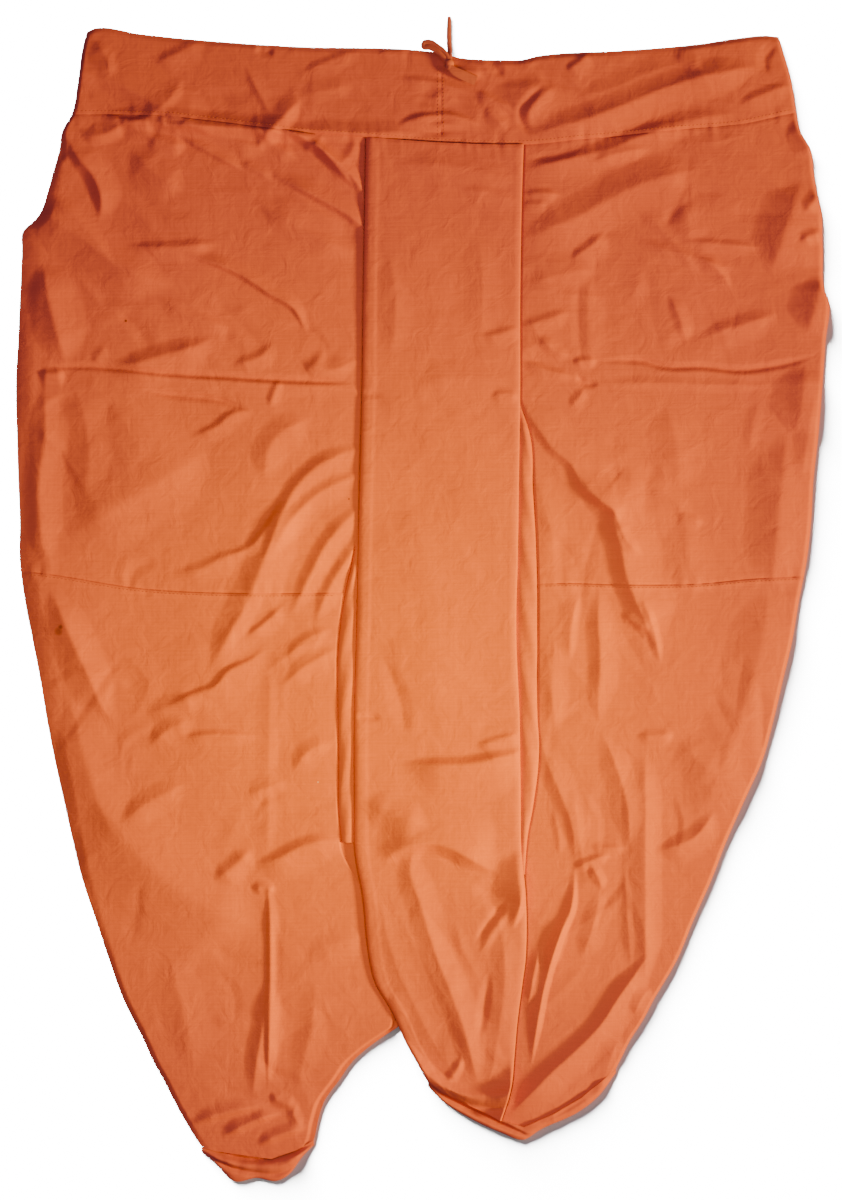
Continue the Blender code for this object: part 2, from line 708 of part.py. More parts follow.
def cord(name, route, radius):
    """Drawstring cloth tube through a route, sampled along a smooth curve, with filled ends."""
    across = column(route, "across")
    down = column(route, "down")
    level = np.array([front_top(p.across, p.down) + radius + SEAM_GAP * (p.clear > 0) + p.clear
                      for p in route])
    length = np.concatenate(([0.0], np.cumsum(np.hypot(np.diff(across), np.diff(down)))))
    at = np.linspace(0.0, length[-1], max(6, int(length[-1] / CORD_STEP) * 2))
    curve = bpy.data.curves.new(name, "CURVE")
    curve.dimensions = "3D"
    curve.bevel_depth = radius * MM
    curve.bevel_resolution = 2
    curve.use_fill_caps = True
    spline = curve.splines.new("POLY")
    spline.points.add(len(at) - 1)
    rounded = [through(at, length, values) for values in (across, down, level)]
    for point, x, y, z in zip(spline.points, *rounded):
        point.co = (x * MM, (GARMENT_LENGTH / 2 - y) * MM, max(z, radius) * MM, 1.0)
    add_to_collection(bpy.data.objects.new(name, curve), CLOTH_SHADE, 0.6)


def drawstring():
    """Two free ends, the loop and the knot, on the front of the waistband."""
    cord("drawstring_end_upright", UPRIGHT_ROUTE, CORD_RADIUS)
    cord("drawstring_end_flat", FLAT_ROUTE, CORD_RADIUS)
    cord("drawstring_loop", LOOP_ROUTE, CORD_RADIUS)
    mesh = bmesh.new()
    bmesh.ops.create_uvsphere(mesh, u_segments=12, v_segments=8, radius=1.0)
    seat = front_top(KNOT.across, KNOT.down) + SEAM_GAP * 2
    for vert in mesh.verts:
        vert.co = ((KNOT.across + vert.co.x * KNOT_SIZE[0]) * MM,
                   (GARMENT_LENGTH / 2 - KNOT.down + vert.co.y * KNOT_SIZE[1]) * MM,
                   (seat + KNOT_SIZE[2] * (1 + vert.co.z)) * MM)
    data = bpy.data.meshes.new("drawstring_knot")
    mesh.to_mesh(data)
    mesh.free()
    add_to_collection(bpy.data.objects.new("drawstring_knot", data), CLOTH_SHADE, 0.6)


clear_scene()
garment = bpy.data.collections.new("dhoti_pants")
bpy.context.scene.collection.children.link(garment)
back_layers()
waist_bands()
leg_fronts()
pleat_layers()
ankle_hems()
drawstring()
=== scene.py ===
"""Dhoti pants laid flat on a pale surface, front side up.

Thin cotton shells follow the garment's panels as they lie: a casing waistband with a
drawstring, two legs cut in an upper and a lower part, a box pleat with its top panel and two
underlays, and bunched ankle hems. Tables are in millimetres: across is measured from the middle,
positive to the wearer's left (+X), and down from the waist's highest corner (towards -Y).
"""

import math
from collections import namedtuple

import bpy
import numpy as np
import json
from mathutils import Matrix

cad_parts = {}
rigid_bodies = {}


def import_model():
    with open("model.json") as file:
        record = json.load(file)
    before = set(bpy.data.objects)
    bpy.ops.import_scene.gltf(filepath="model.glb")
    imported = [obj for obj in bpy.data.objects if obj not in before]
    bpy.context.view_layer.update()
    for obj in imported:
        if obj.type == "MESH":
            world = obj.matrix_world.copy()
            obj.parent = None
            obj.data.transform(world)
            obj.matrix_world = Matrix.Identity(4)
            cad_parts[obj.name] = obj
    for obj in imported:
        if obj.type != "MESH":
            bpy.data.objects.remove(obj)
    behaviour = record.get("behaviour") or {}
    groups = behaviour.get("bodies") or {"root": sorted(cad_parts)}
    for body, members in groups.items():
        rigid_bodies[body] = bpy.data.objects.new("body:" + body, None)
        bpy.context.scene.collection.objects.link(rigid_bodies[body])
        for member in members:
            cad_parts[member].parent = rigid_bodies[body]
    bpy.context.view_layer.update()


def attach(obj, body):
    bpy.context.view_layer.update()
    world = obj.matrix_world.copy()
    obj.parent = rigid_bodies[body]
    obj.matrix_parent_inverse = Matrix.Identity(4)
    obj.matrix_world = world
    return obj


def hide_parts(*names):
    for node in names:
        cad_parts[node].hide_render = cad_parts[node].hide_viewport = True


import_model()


def placed(name, data):
    """New object with that data, in the scene."""
    made = bpy.data.objects.new(name, data)
    bpy.context.scene.collection.objects.link(made)
    return made


# ---------------------------------------------------------------------------------------------
# Camera. A copy stand looks straight down, so the garment shows with no perspective slant.
# The picture's long side takes in 1080 mm of the surface.
PICTURE_SPAN = 1.080
PICTURE_CENTRE = (-0.00135, 0.0047)
CLOTH_LEVEL = 0.004
LENS = 85.0
SENSOR = 36.0
camera_data = bpy.data.cameras.new("copy_stand")
camera_data.lens = LENS
camera_data.sensor_width = SENSOR
camera = placed("copy_stand", camera_data)
camera.location = (*PICTURE_CENTRE, PICTURE_SPAN * LENS / SENSOR + CLOTH_LEVEL)
bpy.context.scene.camera = camera

# ---------------------------------------------------------------------------------------------
# Drawstring. A folded and stitched tape of the garment's own cloth, tied in one knot with one
# loop on the casing's centre seam. One free end stands up past the waist's edge, twisted to a
# point, and the other lies flat with a square cut end.
MM = 0.001
UP = (0.0, 0.0, 1.0)
LENGTH = 1039.0
FRONT_TOP = 2.7


def rows(kind, table):
    """A table's rows, each as a named tuple of that kind."""
    return [kind(*row) for row in table]


CordPoint = namedtuple("CordPoint", "across down level width thickness")
UPRIGHT_END = rows(CordPoint, [
    (24.9, 30.6, 9.8, 3.6, 2.6),
    (24.6, 25.0, 8.0, 4.2, 2.2),
    (24.4, 20.0, 4.0, 4.3, 1.8),
    (24.0, 14.0, 1.6, 4.3, 1.6),
    (23.8, 4.0, 1.2, 4.2, 1.6),
    (23.9, -5.0, 1.2, 3.8, 1.5),
    (24.2, -10.8, 1.0, 3.0, 1.1),
])
FLAT_END = rows(CordPoint, [
    (23.0, 28.6, 10.0, 3.0, 2.0),
    (23.0, 34.0, 10.6, 4.2, 2.0),
    (26.6, 38.6, 10.9, 7.0, 1.7),
    (32.6, 42.0, 10.9, 8.4, 1.5),
    (39.6, 45.2, 10.4, 8.6, 1.4),
    (48.0, 48.6, 9.7, 8.4, 1.4),
])
LOOP = rows(CordPoint, [
    (24.0, 29.6, 9.8, 3.4, 2.2),
    (19.8, 22.4, 9.0, 4.0, 1.7),
    (12.8, 17.0, 7.8, 4.6, 1.7),
    (6.4, 13.3, 6.6, 5.0, 1.7),
    (1.6, 14.3, 6.0, 5.2, 1.7),
    (1.6, 17.4, 6.4, 5.2, 1.7),
    (6.6, 18.2, 7.4, 4.8, 1.8),
    (13.2, 21.9, 8.6, 4.4, 1.8),
    (18.6, 26.7, 9.4, 4.0, 1.9),
    (22.0, 31.4, 9.8, 3.4, 2.2),
])
CORD_STEP = 0.8
CORD_SIDES = 14
HEM_GROOVE = 0.22
KNOT_CENTRE = (24.0, 33.2, 9.2)
KNOT_SIZE = (3.9, 6.2, 3.2)
KNOT_RINGS = 30
KNOT_SIDES = 48


def through(at, knots, values):
    """Smooth line through a table: cubic Hermite, each slope the mean of its two chords."""
    knots = np.asarray(knots, float)
    values = np.asarray(values, float)
    chords = np.diff(values) / np.diff(knots)
    slopes = np.concatenate((chords[:1], (chords[1:] + chords[:-1]) / 2, chords[-1:]))
    at = np.clip(at, knots[0], knots[-1])
    cell = np.clip(np.searchsorted(knots, at, side="right") - 1, 0, len(knots) - 2)
    span = knots[cell + 1] - knots[cell]
    t = (at - knots[cell]) / span
    return (
        values[cell] * (1 + 2 * t) * (1 - t) ** 2
        + values[cell + 1] * t**2 * (3 - 2 * t)
        + span * slopes[cell] * t * (1 - t) ** 2
        - span * slopes[cell + 1] * t**2 * (1 - t)
    )


def walk(line):
    """How far along a line each of its points is, from 0 at its first."""
    return np.concatenate(([0.0], np.cumsum(np.linalg.norm(np.diff(line, axis=0), axis=1))))


def unit(vectors):
    """The same vectors, one long."""
    return vectors / np.linalg.norm(vectors, axis=-1, keepdims=True)


def column(table, name):
    """One named column of a table, as an array."""
    return np.array([getattr(row, name) for row in table], float)


def to_world(across, down, level):
    """Points in metres from millimetres across, down and up."""
    return np.stack((across, LENGTH / 2 - down, level), axis=-1) * MM


def mesh_from(name, points, faces, smooth_angle=1.0):
    """Mesh object at the origin from point and quad arrays, smooth but for its sharp edges."""
    data = bpy.data.meshes.new(name)
    data.from_pydata(points.reshape(-1, 3).tolist(), [], list(faces))
    data.update()
    data.shade_smooth()
    data.set_sharp_from_angle(angle=smooth_angle)
    return placed(name, data)


def tube_faces(rings, sides):
    """Quads between neighbouring rings, and a fan of quads that closes each end."""
    ring, side = np.meshgrid(np.arange(rings - 1), np.arange(sides), indexing="ij")
    following = (side + 1) % sides
    wall = np.stack((ring * sides + side, ring * sides + following,
                     (ring + 1) * sides + following, (ring + 1) * sides + side), axis=-1)
    half = np.arange(sides // 2 - 1)
    start = np.stack((half, sides - 1 - half, sides - 2 - half, half + 1), axis=-1)[:, ::-1]
    end = start[:, ::-1] + (rings - 1) * sides
    return np.concatenate((wall.reshape(-1, 4), start[:, ::-1], end[:, ::-1]))


def tape(name, route):
    """Tube along a route: each ring is a flattened oval, as wide and thick as the table says,
    lying level across the way the tape runs, with a hem groove along each side."""
    across, down, level = (column(route, key) for key in ("across", "down", "level"))
    length = walk(np.stack((across, down, level), axis=1))
    at = np.linspace(0.0, length[-1], int(length[-1] / CORD_STEP) + 2)
    line = to_world(*(through(at, length, values) for values in (across, down, level)))
    ahead = unit(np.gradient(line, axis=0))
    beside = unit(np.cross(ahead, UP))
    above = np.cross(beside, ahead)
    turn = np.arange(CORD_SIDES) / CORD_SIDES * 2 * math.pi
    oval = np.sign(np.cos(turn)) * np.abs(np.cos(turn)) ** 0.8
    groove = 1 - HEM_GROOVE * np.exp(-(((np.abs(oval) - 0.72) / 0.12) ** 2))
    half_width = through(at, length, column(route, "width")) / 2 * MM
    half_thick = through(at, length, column(route, "thickness")) / 2 * MM
    points = (line[:, None]
              + beside[:, None] * (half_width[:, None] * oval)[..., None]
              + above[:, None] * (half_thick[:, None] * np.sin(turn) * groove)[..., None])
    return mesh_from(name, points, tube_faces(len(at), CORD_SIDES), 1.2), line


def wrapped_knot(name, centre, size, turns=2.5):
    """Ellipsoid whose surface is raised in a band that winds round it, as a tape's wraps do."""
    around, up = np.meshgrid(np.linspace(0, 2 * math.pi, KNOT_SIDES + 1)[:-1],
                             np.linspace(-1.45, 1.45, KNOT_RINGS), indexing="ij")
    wraps = 1 + 0.13 * np.cos(2 * math.pi * turns * up / 2.9 + around + 0.7 * np.sin(2 * around))
    points = np.stack((centre[0] + size[0] * wraps * np.cos(up) * np.cos(around),
                       centre[1] + size[1] * wraps * np.sin(up),
                       centre[2] + size[2] * wraps * np.cos(up) * np.sin(around)), axis=-1)
    points = points.transpose(1, 0, 2)
    world = to_world(points[..., 0], points[..., 1], points[..., 2])
    return mesh_from(name, world, tube_faces(KNOT_RINGS, KNOT_SIDES), 1.2)


drawstring = {}
for node, route in (("drawstring_end_upright", UPRIGHT_END), ("drawstring_end_flat", FLAT_END),
                    ("drawstring_loop", LOOP)):
    made, line = tape(node + "_tape", route)
    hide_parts(node)
    drawstring[node] = (made, line)
knot = wrapped_knot("drawstring_knot_tape", KNOT_CENTRE, KNOT_SIZE)
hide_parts("drawstring_knot")
for node, declared, spare in (("drawstring_end_upright", 0.0048, [knot]),
                              ("drawstring_end_flat", 0.0052,
                               [drawstring["drawstring_loop"][0]])):
    made, line = drawstring[node]
    run = float(walk(line)[-1])

# ---------------------------------------------------------------------------------------------
# Back of the garment. Two back legs and a back casing of the same cotton, pressed flat on the
# surface by the front's weight, so only faint set creases mark them underneath.
SideRow = namedtuple("SideRow", "down right left")
SIDES = rows(SideRow, [
    (0, -301, 318), (18, -306, 324), (47, -310, 332), (78, -316, 337), (92, -324, 340),
    (110, -327, 350), (128, -332, 352), (146, -337, 355), (164, -343, 359), (173, -349, 360),
    (182, -359, 360), (200, -360.5, 360.5), (236, -362, 362), (245, -362.5, 366),
    (281, -364, 363), (317, -366, 360.5), (371, -365, 356), (407, -364, 352), (443, -362.5, 350),
    (479, -362.5, 346), (515, -358, 339), (551, -351, 333), (587, -344, 324.5), (623, -338, 316),
    (659, -331, 306), (695, -323, 290), (731, -315, 274), (767, -306, 260), (803, -294, 244),
    (839, -282, 229), (875, -269, 208), (893, -260, 198.5), (911, -251, 187), (929, -243, 178),
    (947, -233, 168), (965, -224, 152), (983, -214, 121), (1001, -203, 91), (1010, -196, 91),
    (1020, -187, 91),
])
EdgePoint = namedtuple("EdgePoint", "across down")
WAIST_TOP = rows(EdgePoint, [
    (-301, 3), (-293, 0), (-254, 5.5), (-182, 12.5), (-110, 17), (-20, 19), (16, 22.5), (34, 27),
    (70, 29), (88, 29), (106, 25), (178, 20.5), (250, 14.5), (286, 9), (308, 7), (320, 8),
])
WAIST_SEAM = rows(EdgePoint, [
    (-320, 78), (-270, 78.5), (-180, 85.5), (-126, 93), (-47, 99), (16, 103.5), (92, 105),
    (148, 100), (233, 92), (286, 87), (323, 79), (340, 75.5),
])
RIGHT_HEM_TOP = rows(EdgePoint, [
    (-199, 1008), (-186, 1011), (-136, 1018), (-113, 1010), (-98, 1001),
])
LEFT_HEM_TOP = rows(EdgePoint, [
    (5, 948), (18, 958), (45, 971), (70, 982), (91, 989), (118, 977), (142, 963), (162, 947),
    (174, 936.5),
])
SeamRow = namedtuple("SeamRow", "down across")
CENTRE_LINE = rows(SeamRow, [
    (95, 16.6), (500, 16.6), (700, 15), (790, 7), (850, -7), (899, -21.5),
])
FORK_DOWN = 899.0
MID_DOWN = 500.0
GRID_ROUNDS = 60
INSIDES = rows(SideRow, [
    (899, -21.5, -21.5), (911, -40, -16), (929, -62, -6), (947, -75, 4), (965, -88, 18),
    (983, -94, 45), (1001, -98, 91), (1020, -108, 91),
])
BACK_TOP = 1.45
BACK_CELL = 9.0
PRESSED = 0.35
PRESSED_MOST = 0.9


def edge_down(table):
    """Edge that runs across the garment, as a function of across."""
    return lambda across: through(across, column(table, "across"), column(table, "down"))


def chord_down(table):
    """Edge that runs across in straight stretches between the table's points."""
    return lambda across: np.interp(across, column(table, "across"), column(table, "down"))


def edge_across(table, side):
    """Edge that runs down the garment, as a function of down."""
    return lambda down: through(down, column(table, "down"), column(table, side))


def inner_edge(side):
    """The centre seam down to the fork, and the leg's inner edge below it."""
    seam = edge_across(CENTRE_LINE, "across")
    inside = edge_across(INSIDES, side)
    return lambda down: np.where(down < FORK_DOWN, seam(down), inside(down))


def panel_grid(edge_right, edge_left, edge_top, edge_foot, across_steps, down_steps):
    """Grid between four edges: across is a mean of the side edges at that down, and down is a
    mean of the top and foot edges at that across, each found from the other in a few rounds."""
    share_across, share_down = np.meshgrid(across_steps, down_steps, indexing="ij")
    middle = 0.5 * (edge_right(np.float64(MID_DOWN)) + edge_left(np.float64(MID_DOWN)))
    down = (1 - share_down) * edge_top(middle) + share_down * edge_foot(middle)
    for _ in range(GRID_ROUNDS):
        across = (1 - share_across) * edge_right(down) + share_across * edge_left(down)
        down = 0.5 * (down + (1 - share_down) * edge_top(across) + share_down * edge_foot(across))
    return across, down


def drift(across, down, seed, height, shortest, longest, waves=10):
    """Slow unevenness: a mean of seeded plane waves of that height and range of lengths."""
    draw = np.random.default_rng(seed)
    total = np.zeros_like(across)
    for _ in range(waves):
        way = draw.uniform(0, math.pi)
        period = draw.uniform(shortest, longest)
        phase = draw.uniform(0, 2 * math.pi)
        along = across * math.cos(way) + down * math.sin(way)
        total += np.sin(2 * math.pi * along / period + phase)
    return height * total / math.sqrt(waves)


def cloth_shell(name, across, down, top, underside, skip=1):
    """Closed thin shell between an upper grid and a lower one that keeps each skip-th line,
    joined round the rim, with the cut's own grain in metres as its UV map."""
    columns, stations = across.shape
    keep = (slice(None, None, skip), slice(None, None, skip))
    points = np.concatenate((to_world(across, down, top).reshape(-1, 3),
                             to_world(across[keep], down[keep], underside[keep]).reshape(-1, 3)))
    upper = np.arange(columns * stations).reshape(columns, stations)
    lower = (np.arange(across[keep].size) + columns * stations).reshape(across[keep].shape)
    faces = []
    for grid, order in ((upper, (0, 1, 2, 3)), (lower, (3, 2, 1, 0))):
        corners = (grid[:-1, :-1], grid[:-1, 1:], grid[1:, 1:], grid[1:, :-1])
        faces += np.stack([corners[i] for i in order], axis=-1).reshape(-1, 4).tolist()
    for a, b in ((0, slice(None)), (slice(None), -1), (-1, slice(None, None, -1)),
                 (slice(None, None, -1), 0)):
        high, low = upper[a, b].tolist(), lower[a, b].tolist()
        for n in range(len(low) - 1):
            faces.append([low[n], low[n + 1]] + high[n * skip:(n + 1) * skip + 1][::-1])
    made = mesh_from(name, points, faces, 1.1)
    grain = made.data.uv_layers.new(name="grain")
    corner = np.empty(len(made.data.loops), dtype=np.int32)
    made.data.loops.foreach_get("vertex_index", corner)
    flat = np.stack((across.ravel(), -down.ravel()), axis=-1) * MM
    flat_low = np.stack((across[keep].ravel(), -down[keep].ravel()), axis=-1) * MM
    grain.data.foreach_set("uv", np.concatenate((flat, flat_low))[corner].ravel())
    return made


def below(top, wall, skip):
    """Underside for a shell with a coarse lower face: a wall below the lowest nearby point."""
    low = top.copy()
    for axis in (0, 1):
        padded = np.concatenate([np.take(low, [0], axis)] * skip + [low]
                                + [np.take(low, [-1], axis)] * skip, axis)
        windows = np.lib.stride_tricks.sliding_window_view(padded, 2 * skip + 1, axis)
        low = windows.min(axis=-1)
    return low - wall


def cells(length, size, multiple=1):
    """Even steps from 0 to 1, about a size apart over a length, a multiple of them in all."""
    count = max(2, int(length / size / multiple)) * multiple
    return np.linspace(0, 1, count + 1)


side_right = edge_across(SIDES, "right")
side_left = edge_across(SIDES, "left")
waist_top = edge_down(WAIST_TOP)
waist_seam = edge_down(WAIST_SEAM)
cloth = {}
for side, outer, hem in (("right", side_right, RIGHT_HEM_TOP), ("left", side_left, LEFT_HEM_TOP)):
    inner = inner_edge(side)
    edges = (outer, inner) if side == "right" else (inner, outer)
    across, down = panel_grid(*edges, waist_seam, chord_down(hem),
                              cells(340, BACK_CELL), cells(900, BACK_CELL))
    pressed = np.clip(drift(across, down, 11, PRESSED, 40, 160), 0, PRESSED_MOST)
    cloth["leg_back_" + side] = cloth_shell("leg_back_%s_cloth" % side, across, down,
                                            np.full_like(across, BACK_TOP), pressed)
across, down = panel_grid(side_right, side_left, waist_top, waist_seam,
                          cells(660, BACK_CELL), cells(75, BACK_CELL))
pressed = np.clip(drift(across, down, 12, PRESSED, 30, 120), 0, PRESSED_MOST)
cloth["waistband_back"] = cloth_shell("waistband_back_cloth", across, down,
                                      np.full_like(across, BACK_TOP), pressed)

# ---------------------------------------------------------------------------------------------
# Front waistband and legs. One field of creases runs over the two casing halves and over both
# legs, so a fold crosses a seam unbroken, and each piece is cut from it along its own edges.
# The seams are sewn with one needle and pull the cloth into short puckers on both sides.
Crease = namedtuple("Crease", "rise left right path")
BAND_CREASES = rows(Crease, [
    # Right half of the casing: it swells along its seam and dips above it.
    (5.0, 18, 9, ((-366, 12), (-338, 30), (-306, 42), (-277, 50), (-246, 66), (-216, 84),
                  (-180, 102))),
    (5.0, 9, 5, ((-296, 80), (-250, 85), (-214, 89), (-180, 91), (-140, 94), (-86, 100))),
    (1.5, 10, 4, ((-197, 9), (-208, 17), (-224, 25), (-244, 33))),
    (-1.8, 3, 4, ((-150, 16), (-142, 21), (-132, 20))),
    (1.2, 9, 3, ((-54, 21), (-70, 25), (-88, 32), (-112, 43))),
    (1.2, 6, 3, ((-10, 18), (-26, 20), (-42, 24))),
    (1.2, 6, 3, ((-160, 34), (-147, 58), (-135, 82))),
    (3.0, 7, 5, ((-124, 90), (-60, 95), (6, 95))),
    (1.3, 9, 6, ((-112, 62), (-84, 56), (-60, 50))),
    (1.4, 8, 4, ((-252, 86), (-228, 66), (-214, 44))),
    (1.6, 5, 9, ((-296, 10), (-284, 28), (-280, 48))),
    (-1.5, 2, 3, ((-280, 78), (-262, 81), (-250, 80))),
    (-1.5, 2, 3, ((-236, 83), (-222, 86), (-210, 85))),
    (3.6, 6, 12, ((-108, 62), (-122, 78), (-136, 94), (-152, 112))),
    # Left half of the casing: one long diagonal swell, and crumples beside the knot.
    (4.3, 9, 12, ((92, 98), (120, 90), (138, 86), (161, 78), (188, 67), (215, 56), (251, 45),
                  (306, 34))),
    (1.6, 9, 9, ((134, 62), (168, 56), (206, 40), (250, 28))),
    (-1.4, 3, 3, ((112, 49), (96, 64), (88, 76), (91, 88), (106, 97))),
    (1.3, 6, 3, ((119, 52), (104, 66), (96, 78), (99, 88))),
    (1.8, 8, 3, ((150, 22), (142, 31), (128, 40))),
    (1.6, 3, 6, ((46, 57), (64, 66), (83, 78))),
    (-1.7, 4, 4, ((56, 22), (64, 34), (74, 46))),
    (1.4, 6, 5, ((54, 72), (66, 82), (76, 93))),
    (1.8, 4, 8, ((282, 71), (305, 61), (334, 50))),
    (1.5, 5, 8, ((186, 95), (240, 83), (286, 77))),
    (1.3, 7, 4, ((226, 22), (238, 30), (252, 36))),
    (-1.4, 3, 5, ((320, 14), (308, 28), (311, 44))),
    (1.5, 4, 4, ((26, 42), (40, 40), (56, 44))),
    # Arched gathers across the centre seam.
    (2.6, 3, 8, ((-26, 90), (-8, 83), (16, 79), (32, 81), (54, 88))),
    (1.5, 3, 6, ((-24, 45), (-4, 48), (16, 51), (40, 58))),
    (1.0, 3, 5, ((4, 64), (18, 62), (34, 66))),
    # A low swell beside the knot, on the left half.
    (3.2, 26, 18, ((97, 42), (95, 66), (89, 88))),
])
RIGHT_LEG_CREASES = rows(Crease, [
    # Gathers that the waist seam lets go.
    (2.6, 8, 5, ((-310, 92), (-296, 98), (-276, 92), (-262, 82))),
    (2.2, 6, 6, ((-272, 84), (-256, 93), (-238, 96))),
    (2.6, 9, 7, ((-250, 96), (-232, 104), (-210, 106))),
    (2.8, 13, 9, ((-214, 88), (-176, 100), (-136, 112))),
    (1.8, 4, 7, ((-150, 92), (-134, 106), (-112, 118))),
    (1.4, 5, 4, ((-60, 98), (-64, 112), (-74, 124))),
    (1.6, 5, 4, ((-36, 99), (-44, 114), (-48, 132))),
    (1.3, 4, 4, ((-90, 96), (-96, 106), (-108, 112))),
    # Upper leg.
    (3.6, 11, 5, ((-318, 100), (-312, 114), (-297, 132), (-289, 154), (-291, 176))),
    (-2.2, 5, 5, ((-326, 92), (-327, 108), (-322, 122))),
    (2.2, 12, 12, ((-262, 110), (-240, 132), (-214, 148))),
    (2.4, 6, 2.5, ((-226, 93), (-187, 114), (-156, 131))),
    (1.4, 5, 2.5, ((-166, 122), (-150, 128), (-134, 138))),
    (4.2, 5, 4, ((-138, 84), (-92, 109), (-66, 131), (-42, 165))),
    (2.8, 3, 4, ((-100, 100), (-80, 122), (-62, 144))),
    (3.6, 9, 3, ((-136, 132), (-92, 154), (-66, 169), (-34, 196))),
    (2.6, 14, 9, ((-150, 156), (-110, 180), (-60, 210))),
    (2.4, 4, 8, ((-268, 197), (-227, 198), (-180, 193))),
    (5.0, 14, 15, ((-360, 150), (-306, 190), (-270, 216), (-222, 234))),
    (3.0, 6, 2.5, ((-220, 202), (-169, 219), (-137, 239), (-116, 252), (-102, 280))),
    (1.2, 4, 6, ((-240, 240), (-204, 262), (-168, 270))),
    (4.4, 16, 12, ((-342, 208), (-338, 232), (-331, 264), (-320, 306))),
    (2.6, 4, 9, ((-346, 311), (-334, 312), (-320, 310))),
    (3.4, 7, 14, ((-284, 304), (-262, 303), (-232, 295), (-200, 285), (-186, 276))),
    (0.9, 5, 4, ((-284, 286), (-290, 294), (-296, 303))),
    (1.8, 4, 7, ((-172, 304), (-146, 296), (-132, 282))),
    (2.2, 7, 6, ((-110, 300), (-84, 308), (-56, 298))),
    (1.0, 5, 4, ((-88, 288), (-96, 302), (-108, 312))),
    (-1.8, 2.5, 2, ((-346, 306), (-297, 305), (-232, 311), (-178, 314), (-128, 317), (-54, 319))),
    (1.3, 3, 7, ((-297, 309), (-232, 315), (-178, 318), (-128, 321), (-54, 323))),
    (-2.0, 2, 3, ((-256, 326), (-223, 330), (-182, 335), (-152, 346))),
    (1.5, 4, 3, ((-128, 316), (-132, 326), (-138, 342))),
    (1.8, 7, 3, ((-150, 344), (-173, 349), (-183, 358), (-210, 369))),
    (2.2, 12, 9, ((-98, 350), (-126, 364), (-138, 378), (-142, 410))),
    (4.0, 20, 40, ((-190, 378), (-232, 404), (-263, 422), (-290, 442), (-322, 456))),
    (3.0, 12, 9, ((-341, 318), (-339, 360), (-345, 410), (-343, 452), (-338, 488))),
    (1.8, 12, 14, ((-316, 316), (-304, 350), (-300, 392), (-306, 424))),
    (1.0, 12, 14, ((-282, 336), (-262, 366), (-246, 392))),
    (1.7, 9, 4, ((-158, 469), (-180, 477), (-200, 487), (-226, 491))),
    # Fan that the pleat's edge pulls over the thigh.
    (3.3, 12, 6, ((-46, 376), (-76, 385), (-97, 397), (-113, 413), (-123, 430), (-133, 455),
                  (-143, 482))),
    (3.6, 14, 10, ((-118, 422), (-133, 455), (-145, 486), (-158, 518), (-173, 545), (-192, 580))),
    (1.7, 5, 3, ((-124, 424), (-140, 450), (-156, 468), (-182, 478))),
    (2.6, 9, 5, ((-46, 398), (-85, 414), (-106, 430), (-122, 449), (-137, 478))),
    (2.7, 8, 6, ((-48, 424), (-66, 441), (-87, 466), (-103, 497), (-120, 532))),
    (2.3, 7, 5, ((-50, 450), (-66, 476), (-84, 505), (-98, 540))),
    (2.0, 6, 4, ((-52, 486), (-62, 508), (-70, 536))),
    # Lower leg.
    (2.2, 15, 2.2, ((-140, 554), (-152, 567), (-176, 580), (-186, 592), (-207, 600), (-234, 612))),
    (1.8, 10, 7, ((-196, 601), (-222, 609), (-250, 618))),
    (1.9, 7, 2.5, ((-124, 519), (-142, 536), (-160, 549))),
    (2.0, 9, 6, ((-203, 623), (-227, 630), (-246, 648))),
    (2.0, 3, 7, ((-222, 640), (-187, 636), (-146, 638))),
    (2.4, 8, 5, ((-72, 556), (-106, 575), (-128, 594))),
    (1.6, 5, 4, ((-80, 540), (-104, 550), (-124, 568))),
    (1.9, 8, 6, ((-82, 641), (-105, 653), (-116, 670))),
    (1.5, 6, 6, ((-120, 676), (-140, 684), (-160, 690))),
    (0.8, 5, 7, ((-137, 566), (-138, 630), (-139, 700), (-140, 760))),
    (3.6, 12, 12, ((-336, 500), (-317, 546), (-300, 584), (-288, 611), (-274, 628))),
    (2.6, 18, 16, ((-318, 600), (-303, 660), (-290, 700), (-276, 730))),
    (4.2, 26, 30, ((-296, 690), (-264, 735), (-230, 768), (-192, 792), (-146, 812))),
    (1.9, 10, 7, ((-212, 680), (-245, 696), (-272, 716))),
    (2.8, 9, 6, ((-153, 737), (-165, 750), (-188, 768))),
    (3.4, 13, 5, ((-64, 733), (-92, 732), (-112, 738), (-131, 748), (-156, 754))),
    (2.0, 5, 4, ((-132, 778), (-142, 773), (-154, 776))),
    (2.3, 5, 2.5, ((-139, 764), (-137, 808), (-137, 878), (-139, 956))),
    (-1.0, 3, 5, ((-133, 800), (-132, 840), (-133, 884))),
    (2.8, 11, 7, ((-138, 856), (-142, 890), (-148, 925), (-153, 962))),
    (1.5, 12, 8, ((-50, 818), (-76, 822), (-104, 834))),
    (1.4, 12, 12, ((-232, 826), (-216, 880), (-204, 940))),
    (1.3, 9, 9, ((-96, 850), (-100, 900), (-112, 950))),
    # Cloth that crumples onto the hem.
    (3.0, 3, 6, ((-136, 968), (-160, 972), (-182, 977), (-212, 988))),
    (3.6, 3, 6, ((-126, 976), (-146, 981), (-162, 988), (-182, 998))),
    (3.0, 3, 5, ((-102, 988), (-120, 993), (-136, 999), (-152, 1006))),
    (2.0, 5, 4, ((-137, 956), (-130, 964), (-112, 970))),
    (1.5, 4, 4, ((-112, 966), (-116, 976), (-108, 990))),
])
